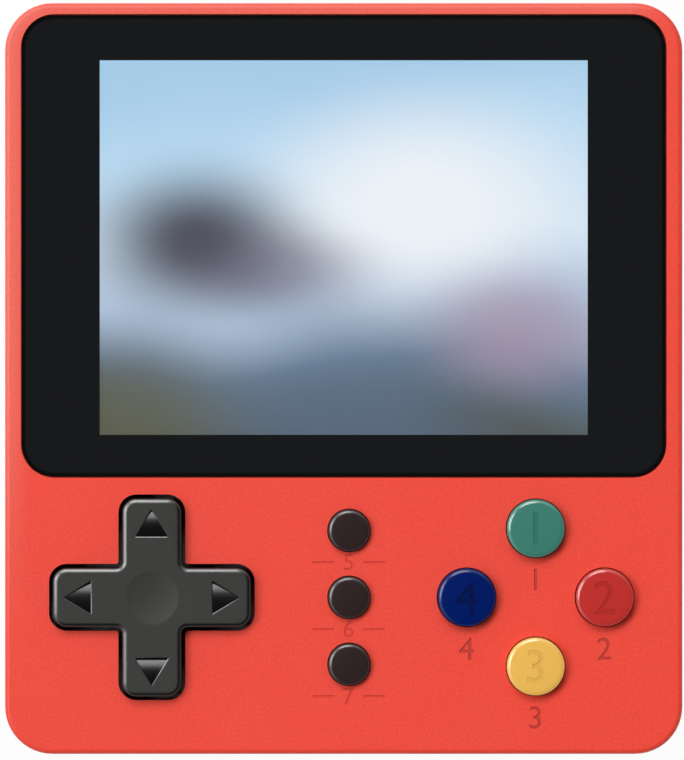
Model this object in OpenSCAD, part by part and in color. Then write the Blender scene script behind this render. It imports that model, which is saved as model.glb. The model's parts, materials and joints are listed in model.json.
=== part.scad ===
// Pocket game console: a two-piece moulded case built round a colour screen, with a cross-shaped
// direction pad, four face buttons, three menu buttons, a thumbwheel, a slide switch and a battery door.
// X runs to the player's right, Y to the top edge and Z out of the screen; the back lies on Z = 0.

/* [Screen] */
// Width of the picture
view_w = 59.8; // [54:0.1:66]
// Height of the picture
view_h = 45.9; // [40:0.1:50]
// Lens border at each side of the picture
lens_beside = 9.5; // [9:0.1:12]
// Lens border above the picture
lens_above = 5.5; // [5:0.1:8]
// Lens border below the picture
lens_below = 5.1; // [4.6:0.1:8]
// Corner radius of the lens
lens_r = 4; // [2:0.1:6]
// Thickness of the lens
lens_t = 1; // [0.7:0.1:1.2]
// Thickness of the display module
lcd_t = 2.8; // [2.4:0.1:3.2]
// Display module past the picture at each side
lcd_side = 3.3; // [2.8:0.1:3.5]
// Display module past the picture above and below
lcd_end = 3.8; // [3.2:0.1:4.2]

/* [Case] */
// Red rim at each side of the lens
rim_side = 2.1; // [1.8:0.1:3]
// Red rim above the lens
rim_top = 1.5; // [1.5:0.1:3]
// Corner radius of the case seen from the front
corner_r = 5.8; // [4.8:0.1:7]
// Rounding of the front edge
front_edge_r = 0.6; // [0.4:0.1:1.4]
// Rounding of the rear edge
rear_edge_r = 3; // [1.5:0.1:3.4]
// Thickness of the side walls
wall_t = 1.8; // [1.6:0.1:2.2]
// Thickness of the front wall
face_t = 2.4; // [2.2:0.1:3]
// Thickness of the back wall and of the battery door
back_t = 1.8; // [1.6:0.1:2.2]
// Shadow gap along the parting line
seam_gap = 0.3; // [0.2:0.05:0.5]
// Clearance between fixed pieces that fit together
fit_gap = 0.15; // [0.1:0.01:0.2]

/* [Direction pad] */
// Span of the cross from tip to tip
dpad_len = 24.2; // [21:0.1:26]
// Width of each arm
dpad_arm = 7.2; // [6.4:0.1:8]
// Gap between the cross and its well
dpad_gap = 0.5; // [0.3:0.05:0.6]
// Height of the cross above the face
dpad_rise = 1.8; // [1.2:0.1:2.4]
// Rounding of the top edge of the cross
dpad_edge_r = 0.9; // [0.4:0.1:1]
// Radius of the pivot ball
ball_r = 1.5; // [1.2:0.1:1.8]
// Face below the lower tip of the cross
controls_below = 7.1; // [6.5:0.1:9]
// Face above the upper tip of the cross
controls_above = 2.7; // [2.5:0.1:5]
// Face beside the outer tip of the cross
controls_beside = 5.9; // [5.5:0.1:8]

/* [Buttons] */
// Diameter of a face button
key_d = 7.1; // [6:0.1:7.8]
// Distance of each face button from the middle of the four
key_reach = 8.45; // [7.8:0.05:9]
// Height of a face button above the face
key_rise = 1.6; // [1.3:0.1:2]
// Diameter of a menu button
menu_d = 5.1; // [4:0.1:5.6]
// Spacing of the menu buttons
menu_pitch = 8.2; // [7.8:0.1:9]
// Offset of the menu column from the middle
menu_shift = 0.65; // [-1:0.05:1]
// Height of a menu button above the face
menu_rise = 1.1; // [1:0.1:1.6]
// Clearance round a button
button_gap = 0.12; // [0.1:0.01:0.2]
// Room between the board and the front wall
button_room = 5.3; // [5:0.1:6]

/* [Battery] */
// Length of the battery
battery_w = 53; // [48:0.5:54]
// Width of the battery
battery_h = 34; // [30:0.5:35]
// Thickness of the battery
battery_t = 5.6; // [4.5:0.1:6.5]
// Play round the battery
battery_play = 0.3; // [0.2:0.05:0.5]
// Back wall below the battery bay
bay_below = 9.2; // [8:0.1:11]

/* [Board and ports] */
// Thickness of the circuit board
board_t = 1.6; // [1:0.1:1.6]
// Radius of the speaker
speaker_r = 14; // [12:0.1:15]
// Diameter of the audio plug's bore
jack_bore_d = 3.6; // [3.5:0.05:3.8]
// Depth of the audio plug's bore
jack_depth = 14; // [12:0.5:15]
// Distance of the audio jack from the middle
jack_x = 24; // [22:0.5:27]
// Distance of the charging socket from the middle
usb_x = 22; // [18:0.5:26]
// Radius of the volume wheel
wheel_r = 6.3; // [5.6:0.1:7]
// Thickness of the volume wheel
wheel_t = 2.2; // [1.8:0.1:2.4]
// Travel of the power knob
power_travel = 2.5; // [2:0.1:3]
// Distance of the wheel and the power knob from the top edge
side_drop = 32; // [30:0.5:36]

/* [Hidden] */
$fn = 64;
// Small overlap that keeps cuts and joins clean
eps = 0.02;
// How far a cut runs past the face that it opens
over = 1;

// The face is built round the picture and the controls
control_zone = controls_below + dpad_len + controls_above;
lens_w = view_w + 2 * lens_beside;
lens_h = view_h + lens_above + lens_below;
body_w = lens_w + 2 * rim_side;
body_h = control_zone + lens_h + rim_top;
inner_w = body_w - 2 * wall_t;
inner_h = body_h - 2 * wall_t;
inner_r = corner_r - wall_t;
lens_y = body_h / 2 - rim_top - lens_h / 2;
view_y = lens_y + (lens_below - lens_above) / 2;
lcd_w = view_w + 2 * lcd_side;
lcd_h = view_h + 2 * lcd_end;
control_y = -body_h / 2 + controls_below + dpad_len / 2;
control_x = body_w / 2 - controls_beside - dpad_len / 2;

// Layers from the back to the face
bay_roof_t = 1.1;
solder_room = 0.8;
battery_z = back_t + battery_play / 2;
bay_z = battery_z + battery_t + battery_play + bay_roof_t;
board_z0 = bay_z + solder_room;
board_z1 = board_z0 + board_t;
inner_z = board_z1 + button_room;
face_z = inner_z + face_t;
split_drop = 0.75;
split_z = board_z0 - split_drop;

// Tongue and groove along the parting line
lip_t = 0.8;
lip_h = 1;

// Lens stack under the face
mask_t = 0.1;
tape_t = 0.15;
tape_w = 2.2;
window_side = 1.2;
window_r = 1;
window_w = view_w + 2 * window_side;
window_h = view_h + 2 * window_side;
lens_z = face_z - lens_t;
mask_z = lens_z - mask_t;
tape_z = mask_z - tape_t;

// Display stack under the front wall
gasket_t = 0.4;
tray_t = 0.3;
tray_r = 0.8;
panel_r = tray_r - tray_t;
panel_w = lcd_w - 2 * (tray_t + fit_gap);
panel_h = lcd_h - 2 * (tray_t + fit_gap);
lcd_top = inner_z - gasket_t;
lcd_z = lcd_top - lcd_t;
glass_t = 1.1;
flex_w = 24;
flex_t = 0.2;
flex_bend = 0.8;
flex_tail = 2.2;
foam_w = 8;
foam_r = 1;
foam_end = 5;
rib_t = 0.8;
rib_h = 2;
rib_l = 7;

// Case screws at the corners
head_well_r = 2;
boss_r = 2.4;
post_wall = 0.8;
well_rim = 0.2;
boss_inset = rear_edge_r + head_well_r + well_rim;
boss_x = body_w / 2 - boss_inset;
boss_y = body_h / 2 - boss_inset;
screw_r = 0.85;
pilot_r = 0.9;
clear_r = 1.05;
head_r = 1.7;
head_t = 1.2;
head_seat_z = 4;
pilot_roof = 1;
screw_free = 2;
screw_end_z = inner_z - pilot_roof - screw_free;
drive_w = 0.5;
drive_l = 2;
drive_depth = 0.6;

// Board screws: two beside the display, two under the menu buttons
board_boss_r = 1.9;
board_screw_r = 0.75;
board_pilot_r = 0.8;
board_hole_r = 0.95;
board_head_r = 1.6;
board_head_t = 0.9;
board_screw_grip = 3.8;
board_boss_in = 2.9;
board_boss_spread = 8.2;
board_boss_up = 5;
board_side_y = view_y - lcd_h / 2;
board_bosses = [
    [-(inner_w / 2 - board_boss_in), board_side_y],
    [inner_w / 2 - board_boss_in, board_side_y],
    [menu_shift - board_boss_spread, -body_h / 2 + board_boss_up],
    [menu_shift + board_boss_spread, -body_h / 2 + board_boss_up]
];
board_play = 0.5;

// Direction pad: the cross rocks on a ball held between its socket and a post on the board
dpad_tilt = 4;
dpad_tip_r = 1.7;
dpad_root_r = 0.8;
dpad_top_z = face_z + dpad_rise;
dpad_drop = 2;
dpad_z = inner_z - dpad_drop;
dpad_flange_t = 0.8;
dpad_flange_in = 2.5;
dpad_flange_r = dpad_len / 2 - dpad_flange_in;
pivot_rise = 0.8;
pivot_z = inner_z + pivot_rise;
ball_play = 0.05;
post_wall_t = 0.9;
post_r = ball_r + post_wall_t;
post_drop = 0.6;
post_z = pivot_z - post_drop;
post_room = 1;
dish_d = 6.8;
dish_depth = 0.16;
arrow_w = 3.9;
arrow_h = 3.1;
arrow_in = 4.6;
arrow_out = dpad_len / 2 - arrow_in;
arrow_depth = 0.35;
well_side = 0.9;
well_r = dpad_len / 2 + well_side;
well_wall = 1;

// Buttons
key_travel = 1.1;
key_edge_r = 0.45;
key_dome_r = 26;
menu_travel = 0.8;
menu_edge_r = 0.6;
menu_dome_r = 14;
flange_w = 1.1;
flange_t = 1.1;
flange_drop = 0.1;
flange_z = inner_z - flange_drop - flange_t;
collar_gap = 0.3;
collar_wall = 0.8;
collar_drop = 2.6;
key_tab_w = 1.2;
key_tab_l = 0.7;
key_tab_root = 0.3;
cap_wall = 0.9;
plunger_r = 1.2;
dome_steps = 6;
edge_steps = 5;
menu_x = menu_shift;
key_places = [[0, key_reach], [-key_reach, 0], [key_reach, 0], [0, -key_reach]];
menu_places = [[0, menu_pitch], [0, 0], [0, -menu_pitch]];

// Rubber pads, their carbon pills and the pads on the board
sheet_t = 0.8;
skirt_t = 0.5;
pill_t = 0.5;
pill_in = 0.5;
touch_gap = 0.05;
pad_t = 0.05;
pad_slit = 0.4;
sheet_edge = 5.4;
dpad_dome_in = 3.5;
dpad_dome_out = dpad_len / 2 - dpad_dome_in;
dpad_dome_r = 3.1;
dpad_dome_top_r = 1.9;
dpad_press = dpad_dome_out * sin(dpad_tilt);
dome_flare = 0.5;
dome_draw = 0.8;
key_dome_base_r = key_d / 2 + dome_flare;
key_dome_top_r = key_d / 2 - dome_draw;
menu_dome_base_r = menu_d / 2 + dome_flare;
menu_dome_top_r = menu_d / 2 - dome_draw;
menu_sheet_side = 1.4;

// Battery bay and door in the back
contact_room = 3.2;
bay_w = battery_w + 2 * battery_play + contact_room;
bay_h = battery_h + 2 * battery_play;
bay_wall = 1.2;
bay_r = 0.5;
bay_y = -body_h / 2 + bay_below + bay_h / 2;
battery_x = -contact_room / 2;
battery_r = 2.5;
door_side = 1.7;
door_gap = 0.2;
door_sink = 0.15;
door_w = bay_w + 2 * door_side;
door_above = 3;
door_top = bay_y + bay_h / 2 + door_above;
tongue_t = 0.8;
tongue_w = 1;
frame_t = 1.2;
frame_side = 1.2;
grip_count = 6;
grip_w = 16;
grip_pitch = 1.8;
grip_r = 0.5;
grip_depth = 0.4;
grip_drop = 16;
grip_y = door_top - grip_drop;
terminal_count = 3;
terminal_pitch = 3.6;
terminal_w = 1.8;
terminal_h = 3;
terminal_t = 0.1;
block_w = 2.4;
block_l = 11.4;
block_rise = 1.6;
spring_w = 1.2;
spring_r = 1.2;
spring_t = 0.2;
spring_bow = 0.6;

// Speaker behind slots in the back
speaker_above = 5.4;
speaker_y = door_top + speaker_r + speaker_above;
speaker_seal_t = 0.5;
speaker_z = back_t + speaker_seal_t;
speaker_rim = 2;
speaker_rim_t = 0.8;
speaker_deep = 3.2;
speaker_sheet = 0.5;
cone_gap = 0.1;
cone_t = 0.35;
cone_z = 2.1;
cap_z = 1.3;
magnet_r = speaker_r / 2;
magnet_t = 2;
speaker_play = 0.2;
speaker_wall = 1;
speaker_wall_h = 2.5;
grille_slot = 1.4;
grille_pitch = 2.8;
grille_rows = 3;
grille_in = 3;
grille_r = speaker_r - grille_in;
wire_r = 0.45;
wire_bend = 1.4;
wire_gap = 3;
wire_run = 1;
wire_rise = 1;

// Ports in the top edge
jack_w = 7.2;
jack_h = 5.4;
jack_nose_wall = 1;
jack_nose_r = jack_bore_d / 2 + jack_nose_wall;
jack_nose_in = 0.3;
jack_back = 0.8;
jack_z = board_z0 - jack_h / 2;
jack_mouth_y = body_h / 2 - jack_nose_in;
jack_front_y = inner_h / 2 - jack_nose_in;
jack_end_y = jack_mouth_y - jack_depth - jack_back;
port_gap = 0.3;
usb_w = 7.6;
usb_h = 2.6;
usb_l = 5.6;
usb_sheet = 0.3;
usb_taper = 0.8;
usb_in = 0.7;
usb_tongue_w = 3.8;
usb_tongue_t = 0.6;
usb_tongue_l = 3.9;
usb_slot_r = 0.8;

// Thumbwheel in the left side and slide switch in the right side
side_y = body_h / 2 - side_drop;
wheel_in = 0.25;
wheel_x = -(body_w / 2 - wheel_in - wheel_r);
pot_t = 1.1;
pot_side = 0.35;
pot_r = wheel_r + wheel_in - wall_t - pot_side;
wheel_gap = 0.25;
wheel_z1 = board_z0 - pot_t - wheel_gap;
wheel_z0 = wheel_z1 - wheel_t;
shaft_r = 1.2;
shaft_play = 0.1;
shaft_cap_r = 2;
shaft_cap_t = 0.5;
notch_count = 36;
notch_r = 0.22;
scoop_r = 14;
scoop_depth = 1.1;
scoop_side = 1.1;
power_w = 4;
power_l = 9;
power_h = 3.4;
power_in = 0.55;
knob_l = 5;
knob_h = 2.4;
knob_gap = 0.25;
knob_in = 0.2;
neck_l = 2.4;
neck_h = 1.2;
neck_deep = 1.2;
knob_rib = 0.4;
knob_rib_pitch = 1.1;
power_z = split_z - knob_gap - knob_h / 2;
power_x = inner_w / 2 - power_in;

// Components on the rear of the board
blob_r = 6;
blob_h = 1.9;
blob_at = [usb_x + 3, speaker_y + 6];
chip_size = [10, 6, 1.2];
chip_at = [-jack_x + 2, speaker_y - 1];
crystal_l = 11;
crystal_w = 4.4;
crystal_h = 3.4;
crystal_at = [usb_x + 0.5, speaker_y - 9];
can_r = 2;
can_h = 4.6;
can_pitch = 5;
can_count = 3;
can_at = [-jack_x - 0.5, speaker_y - 11];

// Rounded rectangle about the origin
module rounded_rect(w, h, r) {
    square([w - 2 * r, h], center = true);
    square([w, h - 2 * r], center = true);
    for (sx = [-1, 1], sy = [-1, 1])
        translate([sx * (w / 2 - r), sy * (h / 2 - r)]) circle(r);
}

// Plate with rounded corners, from z0 to z1
module slab(w, h, r, z0, z1) {
    translate([0, 0, z0]) linear_extrude(z1 - z0) rounded_rect(w, h, r);
}

// Flat frame with rounded corners, from z0 to z1
module flat_frame(w, h, r, hole_w, hole_h, hole_r, z0, z1) {
    translate([0, 0, z0]) linear_extrude(z1 - z0) difference() {
        rounded_rect(w, h, r);
        rounded_rect(hole_w, hole_h, hole_r);
    }
}

// Half section of a wall whose top outer edge is rounded
module edge_section(r, t, edge_r) {
    difference() {
        square([r, t]);
        translate([r - edge_r, t - edge_r]) difference() {
            square(edge_r + over);
            circle(edge_r);
        }
    }
}

// Rounded plate from Z = 0 to t whose top edge is rounded all round
module pillow(w, h, r, t, edge_r) {
    side_x = w / 2 - r;
    side_y = h / 2 - r;
    translate([-side_x, -side_y, 0]) cube([2 * side_x, 2 * side_y, t]);
    for (m = [0, 1]) mirror([m, 0, 0]) translate([side_x, 0, 0]) rotate([90, 0, 0])
        linear_extrude(2 * side_y, center = true) edge_section(r, t, edge_r);
    for (m = [0, 1]) mirror([0, m, 0]) translate([0, side_y, 0]) rotate([90, 0, 90])
        linear_extrude(2 * side_x, center = true) edge_section(r, t, edge_r);
    for (mx = [0, 1], my = [0, 1]) mirror([mx, 0, 0]) mirror([0, my, 0])
        translate([side_x, side_y, 0]) rotate_extrude(angle = 90) edge_section(r, t, edge_r);
}

// Outside of the rear half, from the back up to z1, with the back edge rounded
module rear_outside(z1) {
    translate([0, 0, z1]) mirror([0, 0, 1]) pillow(body_w, body_h, corner_r, z1, rear_edge_r);
}

// Cross outline grown by a margin
module cross_outline(grow) {
    len = dpad_len + 2 * grow;
    arm = dpad_arm + 2 * grow;
    tip_r = dpad_tip_r + grow;
    root_r = dpad_root_r - grow;
    rounded_rect(len, arm, tip_r);
    rounded_rect(arm, len, tip_r);
    for (a = [0:90:270]) rotate(a) translate([arm / 2 + root_r, arm / 2 + root_r]) difference() {
        translate([-root_r - eps, -root_r - eps]) square(root_r + eps);
        circle(root_r);
    }
}

module at_dpad() {
    translate([-control_x, control_y, 0]) children();
}

module at_keys() {
    for (p = key_places) translate([control_x + p.x, control_y + p.y, 0]) children();
}

module at_menu() {
    for (p = menu_places) translate([menu_x + p.x, control_y + p.y, 0]) children();
}

module at_case_bosses() {
    for (sx = [-1, 1], sy = [-1, 1]) translate([sx * boss_x, sy * boss_y, 0]) children();
}

module at_board_bosses() {
    for (p = board_bosses) translate([p.x, p.y, 0]) children();
}

// Upright cylinder from z0 to z1
module rod(r, z0, z1) {
    translate([0, 0, z0]) cylinder(r = r, h = z1 - z0);
}

// Upright tube from z0 to z1
module tube(r_out, r_in, z0, z1) {
    translate([0, 0, z0]) linear_extrude(z1 - z0) difference() {
        circle(r_out);
        circle(r_in);
    }
}

// Openings in the top edge for the two sockets
module port_cuts() {
    translate([-jack_x, inner_h / 2 - over, jack_z]) rotate([-90, 0, 0])
        cylinder(r = jack_nose_r + port_gap, h = wall_t + 2 * over);
    translate([usb_x, inner_h / 2 - over, board_z0 - usb_h / 2]) rotate([-90, 0, 0])
        linear_extrude(wall_t + 2 * over)
            rounded_rect(usb_w + 2 * port_gap, usb_h + 2 * port_gap, usb_slot_r);
}

// Thumb scoop and slot for the wheel in the left side
module wheel_cuts() {
    wheel_wall = inner_w / 2 + wheel_x;
    slot_half = sqrt(pow(wheel_r, 2) - pow(wheel_wall, 2)) + 2 * port_gap;
    translate([-body_w / 2 + scoop_depth - scoop_r, side_y, wheel_z0 - scoop_side])
        cylinder(r = scoop_r, h = split_z - wheel_z0 + scoop_side + over);
    translate([-body_w / 2 - over, side_y - slot_half, wheel_z0 - port_gap])
        cube([wall_t + 2 * over, 2 * slot_half, wheel_t + 2 * port_gap]);
}

// Recess and slot for the power knob in the right side
module power_cuts() {
    well_l = knob_l + power_travel + 2 * knob_gap;
    well_z = power_z - knob_h / 2 - knob_gap;
    slot_l = neck_l + power_travel + 2 * knob_gap;
    slot_h = neck_h + 2 * knob_gap;
    translate([body_w / 2 - scoop_depth, side_y - well_l / 2, well_z])
        cube([scoop_depth + over, well_l, split_z - well_z + over]);
    translate([inner_w / 2 - over, side_y - slot_l / 2, power_z - slot_h / 2])
        cube([wall_t + 2 * over, slot_l, slot_h]);
}

module front_shell() color("#e04a3c") difference() {
    union() {
        difference() {
            translate([0, 0, split_z + seam_gap])
                pillow(body_w, body_h, corner_r, face_z - split_z - seam_gap, front_edge_r);
            slab(inner_w, inner_h, inner_r, split_z, inner_z);
            slab(inner_w + 2 * (lip_t + fit_gap), inner_h + 2 * (lip_t + fit_gap), inner_r + lip_t + fit_gap,
                split_z, split_z + lip_h + fit_gap);
            port_cuts();
        }
        at_case_bosses() rod(boss_r, split_z, inner_z + eps);
        at_board_bosses() rod(board_boss_r, board_z1, inner_z + eps);
        lcd_ribs();
        at_dpad() tube(well_r + well_wall, well_r, board_z1 + fit_gap, inner_z + eps);
        at_keys() rod(key_d / 2 + flange_w + collar_gap + collar_wall, inner_z - collar_drop, inner_z + eps);
        at_menu() rod(menu_d / 2 + flange_w + collar_gap + collar_wall, inner_z - collar_drop, inner_z + eps);
    }
    translate([0, lens_y, 0]) slab(lens_w + 2 * fit_gap, lens_h + 2 * fit_gap, lens_r + fit_gap,
        tape_z, face_z + over);
    translate([0, view_y, 0]) slab(window_w, window_h, window_r, inner_z - over, face_z);
    at_dpad() translate([0, 0, inner_z - over]) linear_extrude(face_t + 2 * over)
        cross_outline(dpad_gap);
    at_keys() button_hole(key_d / 2);
    at_menu() button_hole(menu_d / 2);
    at_case_bosses() rod(pilot_r, split_z - over, inner_z - pilot_roof);
    at_board_bosses() rod(board_pilot_r, board_z1 - over, inner_z - pilot_roof);
}

// Corner ribs that hold the display module in place
module lcd_ribs() {
    w = lcd_w + 2 * fit_gap;
    h = lcd_h + 2 * fit_gap;
    translate([0, view_y, inner_z - rib_h]) linear_extrude(rib_h + eps) intersection() {
        difference() {
            square([w + 2 * rib_t, h + 2 * rib_t], center = true);
            square([w, h], center = true);
        }
        for (sx = [-1, 1], sy = [-1, 1]) translate([sx * w / 2, sy * h / 2]) square(2 * rib_l, center = true);
    }
}

// Through hole, flange bore and keyway of one button in the front wall
module button_hole(r) {
    bore_r = r + flange_w + collar_gap;
    rod(r + button_gap, inner_z - over, face_z + over);
    rod(bore_r, inner_z - collar_drop - over, inner_z);
    translate([-key_tab_w / 2 - collar_gap, 0, inner_z - collar_drop - over])
        cube([key_tab_w + 2 * collar_gap, bore_r + key_tab_l, collar_drop + over]);
}

module rear_shell() color("#d8443a") difference() {
    union() {
        difference() {
            rear_outside(split_z);
            slab(inner_w, inner_h, inner_r, back_t, split_z + over);
        }
        difference() {
            flat_frame(inner_w + 2 * lip_t, inner_h + 2 * lip_t, inner_r + lip_t, inner_w, inner_h, inner_r,
                split_z - eps, split_z + lip_h);
            at_case_bosses() rod(boss_r + fit_gap, split_z, split_z + lip_h + over);
        }
        at_case_bosses() rod(head_well_r + post_wall, back_t - eps, split_z);
        door_frame();
        translate([0, bay_y, 0]) slab(bay_w + 2 * bay_wall, bay_h + 2 * bay_wall, bay_r + bay_wall,
            back_t - eps, bay_z);
        translate([0, speaker_y, 0]) tube(speaker_r + speaker_play + speaker_wall, speaker_r + speaker_play,
            back_t - eps, back_t + speaker_wall_h);
    }
    door_cuts();
    bay_cuts();
    grille_cuts();
    port_cuts();
    wheel_cuts();
    power_cuts();
    at_case_bosses() rod(clear_r, -over, split_z + over);
    at_case_bosses() rod(head_well_r, -over, head_seat_z);
}

// Plate behind the door that carries its rails and closes the case round the bay
module door_frame() {
    w = door_w + 2 * (tongue_w + frame_side);
    y0 = -inner_h / 2 - eps;
    translate([-w / 2, y0, back_t - eps]) cube([w, door_top + frame_side - y0, frame_t + eps]);
}

// Space that the door slides in, open at the lower edge of the case
module door_cuts() {
    slot_w = door_w + 2 * door_gap;
    rail_w = slot_w + 2 * tongue_w;
    y0 = -body_h / 2 - over;
    door_run = door_top + door_gap - y0;
    translate([-slot_w / 2, y0, -over]) cube([slot_w, door_run, back_t + over]);
    translate([-rail_w / 2, y0, back_t - tongue_t - door_gap]) cube([rail_w, door_run, tongue_t + door_gap]);
}

module bay_cuts() {
    roof_z = bay_z - bay_roof_t;
    translate([0, bay_y, 0]) slab(bay_w, bay_h, bay_r, -over, roof_z);
    translate([bay_w / 2 - contact_room, bay_y - block_l / 2 - fit_gap, roof_z - over])
        cube([contact_room, block_l + 2 * fit_gap, bay_roof_t + 2 * over]);
}

// Rows of rounded slots inside a circle
module grille_cuts() {
    for (i = [-grille_rows:grille_rows]) {
        half = sqrt(pow(grille_r, 2) - pow(i * grille_pitch, 2));
        translate([0, speaker_y + i * grille_pitch, -over]) linear_extrude(back_t + 2 * over)
            rounded_rect(2 * half, grille_slot, grille_slot / 2 - eps);
    }
}

module battery_door() color("#d8443a") difference() {
    y0 = -body_h / 2 - over;
    intersection() {
        translate([0, 0, door_sink]) rear_outside(split_z);
        union() {
            translate([-door_w / 2, y0, 0]) cube([door_w, door_top - y0, back_t]);
            translate([-door_w / 2 - tongue_w, y0, back_t - tongue_t])
                cube([door_w + 2 * tongue_w, door_top - y0, tongue_t]);
        }
    }
    for (i = [0:grip_count - 1])
        translate([-grip_w / 2, grip_y + i * grip_pitch, door_sink + grip_depth - grip_r])
            rotate([0, 90, 0]) cylinder(r = grip_r, h = grip_w);
}

module screen_lens() color("#15171a") translate([0, lens_y, 0]) slab(lens_w, lens_h, lens_r, lens_z, face_z);

module lens_mask() color("#0a0a0b") translate([0, 0, mask_z]) linear_extrude(mask_t) difference() {
    translate([0, lens_y]) rounded_rect(lens_w, lens_h, lens_r);
    translate([0, view_y]) square([view_w, view_h], center = true);
}

module lens_tape() color("#3a3a3a") translate([0, lens_y, 0])
    flat_frame(lens_w, lens_h, lens_r, lens_w - 2 * tape_w, lens_h - 2 * tape_w, lens_r - tape_w,
        tape_z, mask_z);

module lcd_gasket() color("#202020") translate([0, view_y, 0])
    flat_frame(lcd_w, lcd_h, tray_r, window_w, window_h, window_r, lcd_top, inner_z);

module lcd_glass() color("#a9c4d8") translate([0, view_y, 0])
    slab(panel_w, panel_h, panel_r, lcd_top - glass_t, lcd_top);

module lcd_backlight() color("#f2f2ee") translate([0, view_y, 0])
    slab(panel_w, panel_h, panel_r, lcd_z + tray_t, lcd_top - glass_t);

module lcd_frame() color("#b8babd") translate([0, view_y, 0]) difference() {
    slab(lcd_w, lcd_h, tray_r, lcd_z, lcd_top);
    slab(lcd_w - 2 * tray_t, lcd_h - 2 * tray_t, panel_r, lcd_z + tray_t, lcd_top + over);
}

module lcd_foam() color("#2b2b2b") for (s = [-1, 1])
    translate([s * (lcd_w / 2 - foam_w), view_y, 0])
        slab(foam_w, lcd_h - 2 * foam_end, foam_r, board_z1, lcd_z);

// Ribbon down the side of the display and out on to the board
module lcd_flex() color("#c77f2b") {
    bend_x = -lcd_w / 2 - flex_t - flex_bend;
    bend_z = board_z1 + flex_t + flex_bend;
    translate([0, view_y + flex_w / 2, 0]) rotate([90, 0, 0]) linear_extrude(flex_w) {
        translate([-lcd_w / 2 - flex_t, bend_z]) square([flex_t, lcd_top - glass_t - bend_z]);
        translate([bend_x - flex_tail, board_z1]) square([flex_tail, flex_t]);
        translate([bend_x, bend_z]) intersection() {
            difference() {
                circle(flex_bend + flex_t);
                circle(flex_bend);
            }
            translate([0, -2 * flex_bend]) square(2 * flex_bend);
        }
    }
}

// Inner corner between two arms, hollowed to root radius, with the top edge rounded as on the arms
module dpad_root() {
    t = dpad_top_z - dpad_z;
    centre = dpad_arm / 2 + dpad_root_r;
    translate([centre, centre, 0]) rotate(180) rotate_extrude(angle = 90)
        translate([centre, 0]) mirror([1, 0]) edge_section(dpad_arm / 2, t, dpad_edge_r);
}

module dpad() color("#3f3f3d") at_dpad() difference() {
    union() {
        translate([0, 0, dpad_z]) pillow(dpad_len, dpad_arm, dpad_tip_r, dpad_top_z - dpad_z, dpad_edge_r);
        translate([0, 0, dpad_z]) pillow(dpad_arm, dpad_len, dpad_tip_r, dpad_top_z - dpad_z, dpad_edge_r);
        for (a = [0:90:270]) rotate(a) translate([0, 0, dpad_z]) dpad_root();
        rod(dpad_flange_r, dpad_z, dpad_z + dpad_flange_t);
    }
    dish_r = (pow(dish_d / 2, 2) + pow(dish_depth, 2)) / (2 * dish_depth);
    translate([0, 0, dpad_top_z - dish_depth + dish_r]) sphere(dish_r);
    for (a = [0:90:270]) rotate(a) translate([0, arrow_out, dpad_top_z - arrow_depth]) linear_extrude(over)
        polygon([[-arrow_w / 2, 0], [arrow_w / 2, 0], [0, arrow_h]]);
    rod(post_r + post_room, dpad_z - over, pivot_z);
    translate([0, 0, pivot_z]) sphere(ball_r + ball_play);
}

module dpad_ball() color("#c9ccd0") at_dpad() translate([0, 0, pivot_z]) sphere(ball_r);

module dpad_post() color("#d9d6cc") at_dpad() difference() {
    rod(post_r, board_z1, post_z);
    translate([0, 0, pivot_z]) sphere(ball_r + ball_play);
}

// Rubber sheet outline with a hollow dome at each place, up to top_z, with room to travel
module rubber_dome(base_r, top_r, top_z, travel) {
    roof_z = board_z1 + travel + pill_t;
    sheet_z = board_z1 + sheet_t;
    knee_z = sheet_z + (top_z - sheet_z) / 2;
    rotate_extrude() polygon([
        [base_r - skirt_t, board_z1], [base_r + eps, board_z1], [base_r + eps, sheet_z],
        [top_r, knee_z], [top_r, top_z], [0, top_z], [0, roof_z],
        [top_r - pill_in, roof_z], [base_r - skirt_t, board_z1 + skirt_t]
    ]);
}

module dpad_membrane() color("#7d8a90") at_dpad() {
    difference() {
        rod(well_r - 2 * fit_gap, board_z1, board_z1 + sheet_t);
        rod(post_r + 2 * fit_gap, board_z1 - over, board_z1 + sheet_t + over);
        for (a = [0:90:270]) rotate(a) translate([0, dpad_dome_out, 0])
            rod(dpad_dome_r, board_z1 - over, board_z1 + sheet_t + over);
    }
    for (a = [0:90:270]) rotate(a) translate([0, dpad_dome_out, 0])
        rubber_dome(dpad_dome_r, dpad_dome_top_r, dpad_z - touch_gap, dpad_press);
}

module face_membrane() color("#7d8a90") {
    difference() {
        translate([control_x, control_y, 0]) rod(key_reach + sheet_edge, board_z1, board_z1 + sheet_t);
        at_keys() rod(key_dome_base_r, board_z1 - over, board_z1 + sheet_t + over);
    }
    at_keys() rubber_dome(key_dome_base_r, key_dome_top_r, flange_z - touch_gap, key_travel);
}

module menu_membrane() color("#7d8a90") {
    w = 2 * (menu_dome_base_r + menu_sheet_side);
    difference() {
        translate([menu_x, control_y, 0])
            slab(w, w + 2 * menu_pitch, menu_sheet_side, board_z1, board_z1 + sheet_t);
        at_menu() rod(menu_dome_base_r, board_z1 - over, board_z1 + sheet_t + over);
    }
    at_menu() rubber_dome(menu_dome_base_r, menu_dome_top_r, flange_z - touch_gap, menu_travel);
}

// Domed cap with a rounded rim: points from the middle of the top to the foot of the wall
function cap_points(r, edge_r, dome_r, top_z) =
    let (
        tip = asin((r - edge_r) / (dome_r - edge_r)),
        cx = r - edge_r,
        cz = top_z - dome_r + (dome_r - edge_r) * cos(tip)
    )
    concat(
        [for (i = [0:dome_steps]) let (a = tip * i / dome_steps)
            [dome_r * sin(a), top_z - dome_r + dome_r * cos(a)]],
        [for (i = [1:edge_steps]) let (a = (90 - tip) * (1 - i / edge_steps))
            [cx + edge_r * cos(a), cz + edge_r * sin(a)]]
    );

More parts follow.
